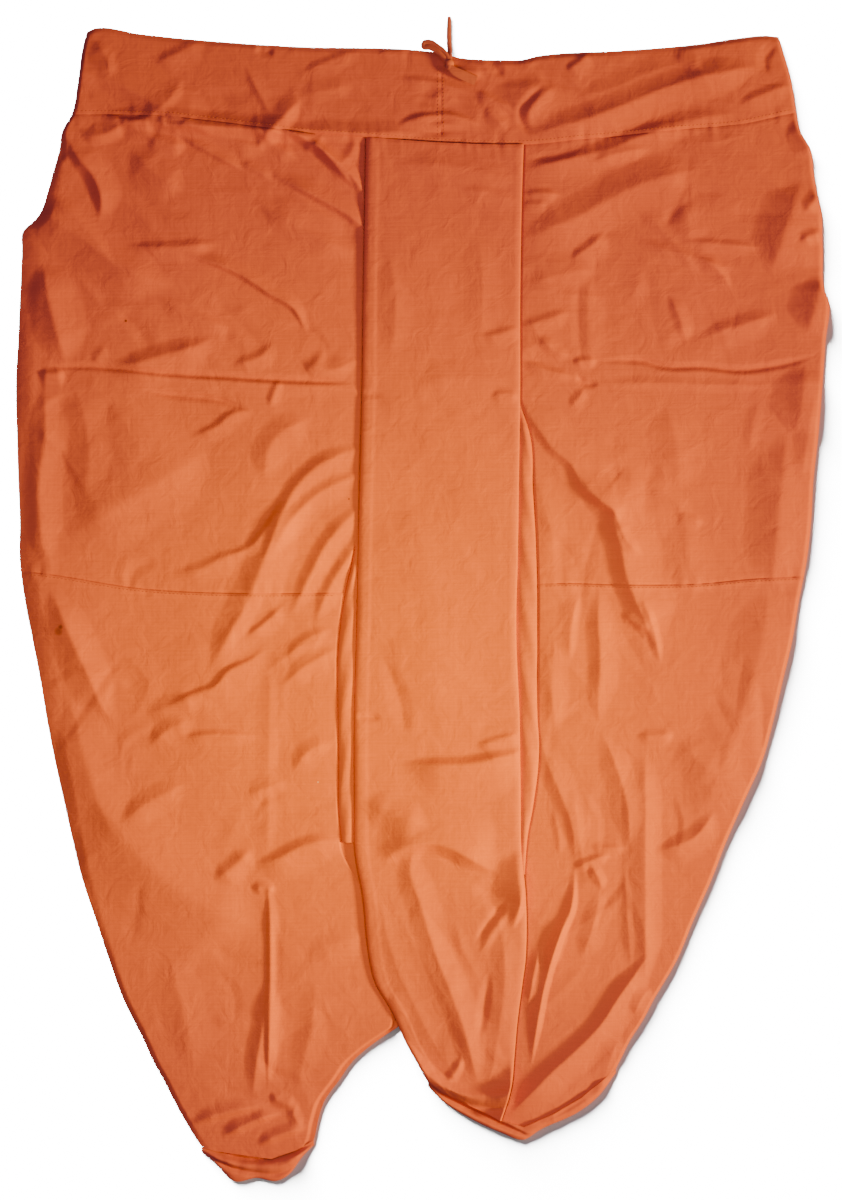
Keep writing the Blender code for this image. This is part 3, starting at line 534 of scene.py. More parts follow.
LEFT_LEG_CREASES = rows(Crease, [
    # Upper leg, below the casing's overlap.
    (3.2, 6, 10, ((82, 130), (112, 123), (134, 118), (170, 109), (197, 98), (252, 84))),
    (-1.4, 3, 3, ((92, 118), (118, 116), (146, 108))),
    (1.8, 4, 5, ((150, 122), (176, 114), (206, 108))),
    (1.5, 2.5, 5, ((88, 150), (106, 149), (126, 150))),
    (1.4, 2.5, 5, ((88, 159), (100, 159), (114, 158))),
    (3.3, 12, 14, ((84, 193), (138, 171), (167, 155), (197, 141), (256, 125))),
    (2.2, 9, 4, ((166, 183), (152, 196), (132, 210))),
    (1.7, 3, 6, ((230, 193), (269, 195), (306, 198))),
    (1.7, 5, 7, ((190, 190), (224, 202), (251, 209), (288, 220))),
    (1.6, 3, 6, ((246, 206), (266, 218), (278, 236))),
    (1.5, 9, 8, ((92, 232), (124, 222), (160, 216))),
    (1.8, 4, 7, ((84, 270), (106, 265), (134, 254))),
    (1.6, 4, 4, ((104, 276), (118, 290), (134, 296))),
    (1.8, 3, 5, ((86, 298), (110, 308), (138, 314))),
    (-0.6, 4, 4, ((141, 222), (140, 262), (144, 310))),
    (0.8, 9, 6, ((149, 222), (149, 262), (152, 306))),
    (1.8, 3, 4, ((134, 302), (144, 300), (158, 300))),
    (-1.8, 3, 3, ((138, 310), (145, 319), (160, 320))),
    (1.3, 4, 4, ((146, 324), (140, 334), (132, 342))),
    (1.4, 6, 4, ((222, 240), (230, 258), (238, 284))),
    (2.2, 6, 10, ((246, 282), (274, 272), (322, 256))),
    (-1.9, 2.5, 2.5, ((152, 300), (201, 300), (219, 305), (251, 305), (287, 308), (332, 301),
                      (362, 292))),
    (1.0, 3, 6, ((190, 304), (219, 309), (252, 309), (288, 312), (330, 305))),
    (1.2, 4, 4, ((152, 320), (220, 320), (290, 322), (324, 321))),
    (1.5, 12, 10, ((230, 140), (238, 170), (240, 200))),
    # Turned side edge: a fold a little inside the outline, broken by the crosswise creases.
    (3.2, 12, 9, ((334, 80), (344, 100), (353, 120))),
    (4.8, 24, 16, ((340, 134), (338, 148), (329, 173), (322, 196), (312, 222))),
    (2.4, 5, 5, ((360, 146), (350, 158), (342, 168))),
    (2.0, 4, 5, ((338, 194), (348, 188), (360, 184))),
    (4.8, 24, 14, ((359, 222), (354, 249), (345, 276))),
    (4.6, 24, 16, ((344, 300), (342, 335), (334, 368))),
    (4.4, 26, 17, ((329, 362), (323, 407), (319, 452), (314, 510))),
    (2.8, 26, 18, ((312, 500), (304, 560), (286, 620), (264, 678), (240, 720))),
    (1.4, 8, 8, ((352, 330), (346, 370), (340, 410))),
    # A lap of cloth that crosses the thigh, its free edge towards the pleat's foot.
    (2.8, 16, 4, ((88, 326), (94, 344), (104, 360), (117, 378), (134, 393), (144, 413), (158, 424),
                  (172, 436), (184, 462))),
    (4.8, 20, 8, ((136, 396), (158, 424), (172, 434), (172, 447), (179, 470), (183, 492),
                  (197, 528), (212, 562))),
    (1.8, 4, 5, ((172, 440), (184, 462), (198, 476))),
    (1.4, 9, 9, ((96, 392), (108, 424), (116, 456), (118, 484))),
    (1.3, 3, 6, ((228, 437), (240, 442), (254, 444))),
    (1.6, 14, 14, ((236, 440), (240, 486), (244, 520))),
    (1.6, 14, 14, ((218, 336), (228, 376), (230, 420))),
    # Lower leg.
    (2.8, 10, 7, ((160, 500), (158, 530), (160, 570), (158, 612), (160, 628))),
    (1.8, 4, 8, ((142, 506), (134, 534), (132, 572))),
    (1.8, 3, 4, ((196, 512), (204, 530), (210, 552), (214, 574))),
    (1.7, 4, 4, ((178, 524), (192, 536), (206, 542))),
    (1.6, 4, 6, ((192, 637), (210, 637), (228, 634))),
    (1.8, 9, 9, ((120, 540), (116, 590), (120, 636))),
    (2.4, 10, 6, ((106, 636), (112, 660), (126, 694), (134, 716), (138, 752))),
    (0.9, 4, 3, ((118, 700), (122, 724), (124, 746))),
    (2.0, 3, 4, ((134, 758), (150, 750), (170, 743))),
    (1.4, 3, 4, ((150, 735), (164, 738), (184, 738))),
    (1.7, 4, 4, ((150, 752), (158, 764), (162, 776))),
    (2.6, 8, 9, ((160, 632), (174, 664), (184, 700), (186, 740))),
    (3.0, 9, 12, ((200, 646), (200, 700), (200, 780), (200, 862))),
    (0.8, 3, 5, ((182, 752), (184, 800), (188, 850))),
    (3.2, 6, 10, ((208, 742), (243, 729), (264, 704))),
    (1.8, 12, 12, ((232, 640), (248, 660), (268, 672))),
    (3.2, 3, 5, ((137, 752), (134, 790), (122, 820), (109, 864), (104, 890), (97, 936))),
    (2.2, 5, 8, ((130, 796), (120, 824), (110, 852))),
    (3.2, 4, 6, ((106, 824), (100, 850), (94, 884))),
    (1.8, 8, 7, ((160, 776), (154, 806), (142, 840))),
    # The deep slanting fold above the hem.
    (5.2, 12, 7, ((206, 830), (192, 850), (177, 870), (160, 896), (139, 918), (115, 940),
                  (90, 966), (76, 982))),
    (1.8, 5, 6, ((190, 890), (196, 874), (206, 862))),
    (2.0, 8, 8, ((160, 960), (168, 930), (178, 904))),
])
# How high the cloth stands between its creases, and how it comes down at an outline, at a join,
# under the pleat's edge and at a hem. The right outline rolls over a width that changes with
# down. Beside the pleat the cloth is held lower, and where the pleat is free it rolls wider.
LOFT = 3.0
SLOW_DRIFT = (0.8, 90, 260)
EDGE_ROLL_DOWNS = (90.0, 200.0, 620.0, 840.0)
EDGE_ROLL_RIGHT = (3.5, 17.0, 15.0, 6.0)
EDGE_ROLL_LEFT = 3.5
BAND_ROLL = 5.0
JOIN_RIDGE = 0.6
PLEAT_ROLL = 1.3
FREE_ROLL = 4.0
PLEAT_HOLD = 0.4
PLEAT_HOLD_REACH = 14.0
SETTLE_SOFTNESS = 0.9
LEG_CEILING = 15.0
PANEL_CEILING = 15.5
HEM_SHARE = 0.45
HEM_REACH = 26.0
# A crease's line is sampled at a step, its crest is rounded, and its foot reaches out past its
# width. Both ends taper over a share of its length, up to a limit.
CREASE_STEP = 3.0
CREST = 0.7
CREST_GROWTH = 0.16
WIDE_CREASE = 8.0
FOOT = 1.7
FALL = 1.3
RELIEF = 1.3
TAPER_SHARE = 0.32
TAPER_LIMIT = 45.0
TIP_WIDTH = 0.3
# Seams: the stitched line sinks in, and each pucker has a height and a reach on both sides.
SEAM_DIP = 0.65
SEAM_WIDTH = 1.3
WAIST_PUCKER = (0.4, 9.0)
JOIN_PUCKER = (0.34, 7.0)
CENTRE_PUCKER = (1.2, 8.0)
CENTRE_GROOVE = 0.22
# The first creases of each leg start in the casing, so the casing's field has them too.
FROM_CASING_RIGHT = 8
FROM_CASING_LEFT = 3
JOIN_SEAM = rows(EdgePoint, [
    (-366, 488), (-332, 492), (-256, 504), (-190, 508), (-70, 508), (17, 505), (86, 501),
    (129, 499.5), (180, 501), (250, 500), (293, 496), (350, 493),
])
join_seam = edge_down(JOIN_SEAM)
PleatRow = namedtuple("PleatRow", "down right left")
PANEL_EDGES = rows(PleatRow, [
    (95, -51, 91.5), (155, -52, 89.5), (245, -53.5, 88), (324, -54.5, 88), (398, -56.5, 87),
    (469, -58, 86), (542, -59.5, 84.5), (623, -61.5, 87.5), (700, -61.5, 88.5), (740, -61, 89),
    (781, -54, 93), (836, -48, 93), (860, -42, 90), (882, -29, 87), (899, -21, 85),
    (911, -16, 84), (929, -6, 82.5), (947, 4, 81), (965, 18, 77), (983, 40, 71),
])
UNDERLAY_EDGES = rows(PleatRow, [
    (95, -40, 80), (300, -44, 80), (335, -46, 88), (371, -49, 98), (413, -53, 100),
    (468, -61, 103), (508, -70, 104), (555, -76, 104), (623, -76.5, 104), (651, -76, 105.5),
    (700, -76, 100), (727, -74, 95), (780, -70, 91),
])
UNDERLAY_FOOT = {"right": 733.0, "left": 762.0}
# The legs run on under the pleat: their line is tucked in behind its edge, and a strip at
# least so wide is left beside the centre seam.
INNER_STRIP = 4.0
PLEAT_TUCK = 0.3
CENTRE_SEAM = 16.6


def smooth_step(t):
    """0 below 0, 1 above 1, and a smooth rise between."""
    t = np.clip(t, 0.0, 1.0)
    return t * t * (3 - 2 * t)


def crease_rise(across, down, creases):
    """Sum of the creases: each is its rise times (1 - u) to the power FALL, where u is the
    distance from the crease's line, less a little so that the crest is round, over FOOT of its
    width on that hand as one walks along it. Height and width both taper to its ends."""
    total = np.zeros_like(across)
    for crease in creases:
        knots = np.array(crease.path, float)
        walked = walk(knots)
        at = np.linspace(0, walked[-1], int(walked[-1] / CREASE_STEP) + 3)
        line = np.stack([through(at, walked, values) for values in knots.T], axis=1)
        reach = FOOT * max(crease.left, crease.right) + CREST
        low, high = line.min(axis=0) - reach, line.max(axis=0) + reach
        near = (across > low[0]) & (across < high[0]) & (down > low[1]) & (down < high[1])
        if not near.any():
            continue
        point = np.stack((across[near], down[near]), axis=1)
        nearest = ((point[:, None] - line) ** 2).sum(axis=-1).argmin(axis=1)
        best = np.full(len(point), np.inf)
        off, along = np.zeros(len(point)), np.zeros(len(point))
        for step in (np.maximum(nearest - 1, 0), np.minimum(nearest, len(line) - 2)):
            way = line[step + 1] - line[step]
            gap = point - line[step]
            share = np.clip((gap * way).sum(axis=1) / (way**2).sum(axis=1), 0, 1)
            away = np.linalg.norm(gap - share[:, None] * way, axis=1)
            hand = np.sign(way[:, 0] * gap[:, 1] - way[:, 1] * gap[:, 0])
            closer = away < best
            best[closer] = away[closer]
            off[closer] = (away * hand)[closer]
            along[closer] = (at[1] * (step + share))[closer]
        taper = min(TAPER_SHARE * walked[-1], TAPER_LIMIT)
        fade = smooth_step(np.minimum(along, walked[-1] - along) / taper)
        width = np.where(off < 0, crease.left, crease.right) * (TIP_WIDTH + (1 - TIP_WIDTH) * fade)
        crest = CREST + CREST_GROWTH * np.maximum(width - WIDE_CREASE, 0)
        u = (np.sqrt(off * off + crest**2) - crest) / (FOOT * width)
        total[near] += RELIEF * crease.rise * fade * np.clip(1 - u, 0, 1) ** FALL
    return total


def strewn(seed, count, corner, far, lean, spread, rise, width, length):
    """Seeded short creases between two corners, leaning about an angle from straight down, half
    of them troughs."""
    draw = np.random.default_rng(seed)
    made = []
    for number in range(count):
        start = np.array([draw.uniform(a, b) for a, b in zip(corner, far)])
        turn = math.radians(lean + draw.normal(0, spread))
        bend = math.radians(draw.normal(0, 16))
        run = draw.uniform(*length) / 2
        first = np.array([math.sin(turn - bend), math.cos(turn - bend)]) * run
        last = np.array([math.sin(turn + bend), math.cos(turn + bend)]) * run
        sizes = draw.uniform(*width, size=2)
        height = draw.uniform(*rise) * (-1 if number % 2 else 1)
        made.append(Crease(height, *sizes, (tuple(start - first), tuple(start), tuple(start + last))))
    return made


STREWN = {
    "right": (strewn(1, 20, (-340, 100), (-60, 300), 62, 26, (0.3, 0.9), (3, 9), (35, 110))
              + strewn(2, 14, (-345, 320), (-70, 500), 70, 30, (0.3, 0.9), (4, 10), (35, 110))
              + strewn(3, 20, (-330, 510), (-90, 740), -38, 30, (0.3, 0.9), (3, 9), (35, 110))
              + strewn(4, 16, (-270, 740), (-70, 1000), 20, 50, (0.3, 0.8), (3, 9), (35, 90))),
    "left": (strewn(5, 22, (95, 100), (345, 300), 78, 34, (0.3, 0.9), (3, 9), (35, 110))
             + strewn(6, 14, (110, 320), (340, 500), 20, 34, (0.3, 0.9), (4, 10), (35, 110))
             + strewn(7, 18, (110, 510), (310, 740), 10, 30, (0.3, 0.9), (3, 9), (35, 110))
             + strewn(8, 14, (80, 740), (240, 960), -22, 30, (0.3, 0.9), (3, 9), (35, 100))),
    "band": strewn(9, 24, (-310, 10), (330, 95), 76, 34, (0.2, 0.7), (4, 8), (30, 80)),
}


def settle(rise, ceiling):
    """Keep a height above the layer below and under a ceiling: it flattens smoothly near both."""
    above = 0.5 * (rise + np.sqrt(rise * rise + SETTLE_SOFTNESS**2))
    over = above - ceiling
    return above - 0.5 * (over + np.sqrt(over * over + SETTLE_SOFTNESS**2))


def pucker(along, away, seed, height, reach):
    """Gathers beside a seam: seeded sine waves along it, swelling and fading in slow patches,
    and dying out over a reach on both sides."""
    draw = np.random.default_rng(seed)
    wave = sum(np.sin(2 * math.pi * along / draw.uniform(7.5, 19) + draw.uniform(0, 6.3)
                      + away * draw.normal(0, 0.09)) for _ in range(5))
    swell = 0.6 + 0.4 * np.sin(2 * math.pi * along / 97 + draw.uniform(0, 6.3))
    return height * wave * swell * np.exp(-np.abs(away) / reach) / 2.2


def pleat_edges(side):
    """Outermost of the underlay's edge, the panel's edge and a strip along the inner edge."""
    underlay = edge_across(UNDERLAY_EDGES, side)
    panel = edge_across(PANEL_EDGES, side)
    inner = inner_edge(side)
    foot = UNDERLAY_FOOT[side]
    pick, hand = (np.minimum, -1) if side == "right" else (np.maximum, 1)

    def line(down):
        past = smooth_step((down - foot - 2) / 40)
        covered = pick(underlay(down) * (1 - past) + panel(down) * past, panel(down))
        return pick(covered - hand * PLEAT_TUCK, inner(down) + hand * INNER_STRIP)

    return line


def front_shape(across, down, creases, seed):
    """Loft, creases, slow drift and seam puckers, rolling down to nothing at the outline."""
    outside = np.minimum(np.abs(across - side_right(down)), np.abs(across - side_left(down)))
    to_waist = down - waist_seam(across)
    to_join = down - join_seam(across)
    shape = LOFT + crease_rise(across, down, creases) + drift(across, down, seed, *SLOW_DRIFT)
    shape += pucker(across, to_waist, 21, *WAIST_PUCKER)
    shape += pucker(across, to_join, 22, *JOIN_PUCKER)
    shape -= SEAM_DIP * np.exp(-((to_waist / SEAM_WIDTH) ** 2))
    shape += JOIN_RIDGE * np.exp(-(((to_join - 2.6) / 2.0) ** 2))
    shape -= JOIN_RIDGE * np.exp(-((to_join / 1.1) ** 2))
    roll_right = np.interp(down, EDGE_ROLL_DOWNS, EDGE_ROLL_RIGHT)
    roll = np.where(across < 0, roll_right, EDGE_ROLL_LEFT)
    return settle(shape, LEG_CEILING) * (1 - np.clip(1 - outside / roll, 0, 1) ** 1.5)


def band_height(across, down):
    """Upper face of the casing, rolling down at its folded top edge too."""
    top = down - waist_top(across)
    creases = (BAND_CREASES + STREWN["band"] + RIGHT_LEG_CREASES[:FROM_CASING_RIGHT]
               + LEFT_LEG_CREASES[:FROM_CASING_LEFT])
    shape = front_shape(across, down, creases, 31)
    groove = CENTRE_GROOVE * np.exp(-(((across - CENTRE_SEAM) / 1.4) ** 2))
    ruck = pucker(down, across - CENTRE_SEAM, 23, *CENTRE_PUCKER)
    edge = 0.4 + 0.6 * smooth_step(top / BAND_ROLL) ** 0.8
    return FRONT_TOP + np.maximum(shape + ruck - groove, 0) * edge


def leg_height(across, down, side):
    """Upper face of a leg: the front's shape, pressed flat under the pleat and at the hem."""
    creases = RIGHT_LEG_CREASES if side == "right" else LEFT_LEG_CREASES
    hand = -1 if side == "right" else 1
    line = pleat_edges(side)(down)
    beside = np.maximum((across - line) * hand, 0)
    free = 1 - smooth_step(np.abs(line - inner_edge(side)(down) - hand * INNER_STRIP) / 8)
    roll = PLEAT_ROLL + (FREE_ROLL - PLEAT_ROLL) * free
    hem = chord_down(RIGHT_HEM_TOP if side == "right" else LEFT_HEM_TOP)
    to_hem = np.maximum(hem(across) - down, 0)
    near_hem = HEM_SHARE + (1 - HEM_SHARE) * smooth_step(to_hem / HEM_REACH)
    shape = front_shape(across, down, creases + STREWN[side] + BAND_CREASES, 31)
    held = 1 - PLEAT_HOLD * np.exp(-beside / PLEAT_HOLD_REACH) * (1 - free)
    return FRONT_TOP + shape * near_hem * held * smooth_step(beside / roll)


CELL = 1.5
SKIP = 4
WALL = 1.2


def centre_seam(down):
    """The casing's centre seam, which runs straight down."""
    return np.full_like(down, CENTRE_SEAM)


for name, edge_right, edge_left in (("waistband_front_right", side_right, centre_seam),
                                    ("waistband_front_left", centre_seam, side_left)):
    across, down = panel_grid(edge_right, edge_left, waist_top, waist_seam,
                              cells(320, CELL, SKIP), cells(80, CELL, SKIP))
    top = band_height(across, down)
    cloth[name] = cloth_shell(name + "_cloth", across, down, top, below(top, WALL, SKIP), SKIP)

for side, outer, hem in (("right", side_right, RIGHT_HEM_TOP), ("left", side_left, LEFT_HEM_TOP)):
    pleat_line = pleat_edges(side)
    inner = inner_edge(side)
    for stretch, top_edge, foot_edge, run in (("upper", waist_seam, join_seam, 420),
                                              ("lower", join_seam, chord_down(hem), 500)):
        down_steps = cells(run, CELL, SKIP)
        out = panel_grid(outer, pleat_line, top_edge, foot_edge, cells(285, CELL, SKIP),
                         down_steps)
        under = panel_grid(pleat_line, inner, top_edge, foot_edge, cells(70, 17, SKIP)[1:],
                           down_steps)
        across = np.concatenate((out[0], under[0]))
        down = np.concatenate((out[1], under[1]))
        if side == "left":
            across, down = across[::-1], down[::-1]
        top = leg_height(across, down, side)
        name = "leg_%s_front_%s" % (stretch, side)
        cloth[name] = cloth_shell(name + "_cloth", across, down, top, below(top, WALL, SKIP),
                                  SKIP)

# ---------------------------------------------------------------------------------------------
# Box pleat. A wide panel folded under along both sides lies over two narrow underlays, which
# show as strips beside it. All three are sewn into the casing at the top, and the panel runs on
# down into the left leg's hem.
UNDERLAY_WIDTH = 38.0
UNDERLAY_BACK = 3.0
UNDERLAY_TOP = 4.2
UNDERLAY_FULLNESS = 2.8
UNDERLAY_ROLL = (0.8, 1.2)
PANEL_TOP = 5.7
PANEL_LOFT = 2.8
PANEL_DRIFT = (0.5, 60, 190)
PANEL_ROLL_DOWNS = (900.0, 950.0)
PANEL_ROLL = (7.0, 2.5)
PANEL_RIM = 0.12
PANEL_TURN = 0.5
PANEL_TURN_WIDTH = 10.0
PANEL_CREASES = rows(Crease, [
    (1.9, 9, 12, ((-26, 122), (12, 124), (29, 126), (62, 132), (90, 144))),
    (1.2, 4, 8, ((33, 146), (60, 150), (88, 157))),
    (1.4, 3, 8, ((52, 279), (72, 275), (88, 269))),
    (1.0, 9, 12, ((-10, 322), (34, 314), (80, 320))),
    (-1.0, 3, 3, ((-76, 330), (-34, 330))),
    (1.4, 3, 6, ((60, 332), (74, 330), (89, 331))),
    (-1.2, 3, 3, ((-62, 620), (-36, 620))),
    (1.6, 30, 34, ((-16, 420), (12, 520), (10, 620))),
    (4.6, 4.5, 20, ((-20, 661), (12, 663), (40, 662), (66, 657), (98, 648))),
    (1.8, 2.5, 8, ((46, 647), (66, 641), (90, 634))),
    (-1.1, 6, 7, ((-38, 560), (-22, 600), (-14, 640))),
    # The wedge-shaped hollow that opens towards the left edge, and the drag lines to the hem.
    (5.4, 24, 6.5, ((-40, 752), (-22, 740), (-6, 734), (8, 733), (25, 737), (40, 745), (54, 753),
                    (70, 760))),
    (6.2, 3, 16, ((94, 736), (92, 756), (91, 772), (88, 788), (80, 812))),
    (-2.4, 10, 12, ((44, 770), (66, 780), (96, 794))),
    (3.0, 10, 12, ((-54, 694), (-24, 706), (6, 718))),
    (2.8, 10, 8, ((4, 732), (-9, 745), (-11, 760), (-3, 784), (11, 830), (25, 866), (38, 902),
                  (50, 952))),
    (1.7, 14, 16, ((-26, 790), (-4, 830), (20, 872), (40, 914), (52, 956))),
    (1.4, 9, 9, ((-40, 780), (-26, 836), (-2, 890), (22, 934))),
    (-1.4, 2.5, 2.5, ((45, 826), (61, 803), (79, 780))),
    (1.3, 3, 3, ((50, 834), (64, 812), (80, 790))),
    (1.8, 9, 9, ((70, 800), (74, 850), (68, 905), (58, 956))),
    (-1.2, 3, 4, ((60, 846), (56, 880), (50, 912))),
    # The hem's mouth: lips over a sunk pocket.
    (4.6, 5, 8, ((-52, 880), (-32, 903), (-16, 920), (2, 938), (18, 950), (38, 959), (60, 960),
                 (78, 956), (100, 930))),
    (7.5, 3, 13, ((90, 926), (85, 948), (80, 964), (74, 984), (68, 1006))),
    (2.2, 3, 3, ((20, 948), (30, 938), (36, 924))),
    (-5.0, 5, 8, ((-14, 938), (10, 956), (30, 966), (54, 973), (84, 968), (124, 950))),
    (1.1, 9, 9, ((-30, 200), (-24, 250), (-28, 300))),
    (1.0, 10, 10, ((50, 180), (54, 240), (50, 290))),
])
PANEL_CREASES += strewn(10, 12, (-40, 110), (78, 420), 74, 24, (0.2, 0.5), (5, 10), (30, 80))
PANEL_CREASES += strewn(11, 12, (-44, 430), (78, 740), 60, 30, (0.3, 0.6), (5, 10), (30, 80))
PANEL_CREASES += strewn(12, 12, (-30, 750), (80, 940), 14, 24, (0.3, 0.8), (4, 7), (25, 70))
panel_right = edge_across(PANEL_EDGES, "right")
panel_left = edge_across(PANEL_EDGES, "left")


def panel_height(across, down):
    """Upper face of the panel: rounded folded sides, then creases and drift over its crown."""
    edge = np.minimum(np.abs(across - panel_right(down)), np.abs(across - panel_left(down)))
    to_waist = down - waist_seam(across)
    shape = PANEL_LOFT + crease_rise(across, down, PANEL_CREASES)
    shape += drift(across, down, 41, *PANEL_DRIFT) + pucker(across, to_waist, 21, *WAIST_PUCKER)
    shape = settle(shape - SEAM_DIP * np.exp(-((to_waist / SEAM_WIDTH) ** 2)), PANEL_CEILING)
    turned = np.abs(across - panel_right(down))
    shape += PANEL_TURN * (1 - smooth_step((turned - PANEL_TURN_WIDTH) / 3))
    inside = np.clip(1 - edge / np.interp(down, PANEL_ROLL_DOWNS, PANEL_ROLL), 0, 1)
    crown = np.sqrt(1 - inside**2)
    return PANEL_TOP + shape * (PANEL_RIM + (1 - PANEL_RIM) * crown)


def edge_cells(length, size, dense, reach):
    """Steps from 0 to 1 that are dense over a reach at both ends and a size apart between,
    a multiple of four in all."""
    ends = np.linspace(0, reach, int(reach / dense / 4) * 4 + 1)[:-1]
    middle = np.linspace(reach, length - reach, int((length - 2 * reach) / size / 4) * 4 + 5)
    return np.concatenate((ends, middle, (length - ends)[::-1])) / length


for side, hand in (("right", 1), ("left", -1)):
    foot = UNDERLAY_FOOT[side]
    outer = edge_across(UNDERLAY_EDGES, side)
    inner = lambda down, outer=outer, hand=hand: outer(down) + hand * UNDERLAY_WIDTH
    edges = (outer, inner) if side == "right" else (inner, outer)
    across, down = panel_grid(*edges, waist_seam, lambda x, foot=foot: np.full_like(x, foot),
                              edge_cells(UNDERLAY_WIDTH, 3.0, 1.0, 6.0), cells(640, 3.0))
    off = np.abs(across - outer(down))
    past_panel = outer(down) - edge_across(PANEL_EDGES, side)(down)
    shown = np.abs(past_panel) * (past_panel * hand < 0)
    fill = np.sin(math.pi * np.clip(off / np.maximum(shown, 1.0), 0, 1)) ** 0.6
    waver = 1 + 0.2 * np.sin(down / 9.7 + off / 3)
    fullness = UNDERLAY_FULLNESS * smooth_step((shown - 2) / 6) * waver
    drop = UNDERLAY_ROLL[0] * np.exp(-off / UNDERLAY_ROLL[1])
    top = UNDERLAY_TOP - drop + fullness * fill
    name = "underpleat_" + side
    cloth[name] = cloth_shell(name + "_cloth", across, down, top,
                              np.full_like(top, UNDERLAY_BACK))

across, down = panel_grid(panel_right, panel_left, waist_seam, chord_down(LEFT_HEM_TOP),
                          edge_cells(148, CELL, 0.8, 8.0), cells(880, CELL, SKIP))
top = panel_height(across, down)
cloth["pleat_panel"] = cloth_shell("pleat_panel_cloth", across, down, top,
                                   below(top, WALL, SKIP), SKIP)

# ---------------------------------------------------------------------------------------------
# Ankle hems. The leg's end is turned up twice and stitched, and lies bunched, so the turns
# show as narrow uneven ridges one below the other.
RIGHT_HEM_FOOT = rows(EdgePoint, [
    (-199, 1012), (-186, 1023), (-171, 1038), (-150, 1035.5), (-131, 1038), (-119, 1031),
    (-108, 1016), (-98, 1006),
])
LEFT_HEM_FOOT = rows(EdgePoint, [
    (5, 953), (18, 966), (45, 983), (70, 994.5), (91, 1001), (106, 992), (142, 975), (160, 960),
    (174, 941),
])
HEM_HEIGHT = 6.6
HEM_LOWEST = 0.6
HEM_STATIONS = 110
HEM_CELL = 0.9
HEM_DRIFT = (0.35, 9, 30)
HEM_CORNER_REACH = 25.0
HEM_CORNER_SHARE = 0.35
HEM_CREASES = {
    "right": rows(Crease, [
        (-4.8, 1.8, 2.2, ((-222, 998), (-186, 1011), (-164, 1017), (-142, 1018), (-110, 1009),
                          (-78, 996))),
        (-4.4, 1.8, 2.4, ((-214, 1006), (-182, 1022), (-155, 1030), (-128, 1031), (-100, 1014),
                          (-80, 1002))),
        (2.0, 3, 2.4, ((-210, 1003), (-184, 1017), (-158, 1024), (-130, 1024), (-106, 1013),
                       (-84, 1002))),
    ]),
    "left": rows(Crease, [
        (-4.4, 1.8, 2.2, ((-12, 942), (18, 961), (52, 978), (78, 990), (112, 1004))),
        (2.2, 2, 3, ((-10, 950), (16, 966), (50, 984), (90, 1000))),
        (0.8, 3, 2, ((92, 994), (124, 979), (150, 964), (168, 948))),
        (-0.8, 1.6, 2, ((110, 983), (124, 977), (150, 961))),
    ]),
}
for side, top_table, foot_table in (("right", RIGHT_HEM_TOP, RIGHT_HEM_FOOT),
                                    ("left", LEFT_HEM_TOP, LEFT_HEM_FOOT)):
    upper = chord_down(top_table)
    lower = edge_down(foot_table)
    first, last = top_table[0].across, top_table[-1].across
    stations = np.unique(np.concatenate((np.linspace(first, last, HEM_STATIONS),
                                         column(top_table, "across"))))
    across, down = panel_grid(lambda y: np.full_like(y, first), lambda y: np.full_like(y, last),
                              upper, lower, (stations - first) / (last - first),
                              cells(16, HEM_CELL))
    share = np.clip((down - upper(across)) / (lower(across) - upper(across)), 0, 1)
    ends = np.minimum(across - first, last - across)
    body = smooth_step(ends / HEM_CORNER_REACH + HEM_CORNER_SHARE)
    height = WALL + (HEM_HEIGHT - WALL) * np.sqrt(1 - share**2.4) * body
    rough = crease_rise(across, down, HEM_CREASES[side]) + drift(across, down, 51, *HEM_DRIFT)
    height += rough * body * np.clip(1.15 - share, 0, 1)
    name = "ankle_hem_" + side
    cloth[name] = cloth_shell(name + "_cloth", across, down, np.maximum(height, HEM_LOWEST),
                              np.zeros_like(across))

# ---------------------------------------------------------------------------------------------
# Cotton cloth. A mid-weight plain weave, piece-dyed orange, with thicker slub threads that run
# across it. Its colour holds painted light: redder and deeper towards the waist and outer edges
# as painted shade, and paler round the lower middle as a painted pool of light.
Spot = namedtuple("Spot", "across down radius strength")
STAINS = rows(Spot, [
    (-327, 543, 4.6, 0.55),
    (-325, 539, 2.6, 0.7),
    (-266.9, 263.7, 1.5, 0.95),
    (-66.2, 423.9, 1.0, 0.85),
])
PALE_SPOT = Spot(-94, 678.6, 0.9, 0.6)
WEAVE_PITCH = 0.0011
# Middle of the painted pool of light in the cloth's colour, in metres.
PAINTED_LIGHT_POOL = (-0.03, -0.09, 0.0)


def linear(colour):
    """Linear RGBA from an sRGB hex value."""
    parts = [int(colour[i:i + 2], 16) / 255 for i in (0, 2, 4)]
    return tuple(c / 12.92 if c <= 0.04045 else ((c + 0.055) / 1.055) ** 2.4 for c in parts) + (1,)


def add(tree, kind, inputs, **settings):
    """One shader node: settings are its attributes, and each input is a value or a socket."""
    made = tree.nodes.new("ShaderNode" + kind)
    for key, value in settings.items():
        setattr(made, key, value)
    for key, value in inputs.items():
        if isinstance(value, bpy.types.NodeSocket):
            tree.links.new(value, made.inputs[key])
        else:
            made.inputs[key].default_value = value
    return made


def spot_mask(tree, place, spot):
    """1 at a spot's middle, fading to 0 at its ragged rim."""
    centre = (spot.across * MM, (LENGTH / 2 - spot.down) * MM, 0)
    off = add(tree, "VectorMath", {0: place, 1: centre}, operation="DISTANCE")
    return add(tree, "MapRange", {"Value": off.outputs["Value"],
                                  "From Min": spot.radius * MM, "From Max": spot.radius * 0.35 * MM,
                                  "To Min": 0.0, "To Max": spot.strength}).outputs["Result"]


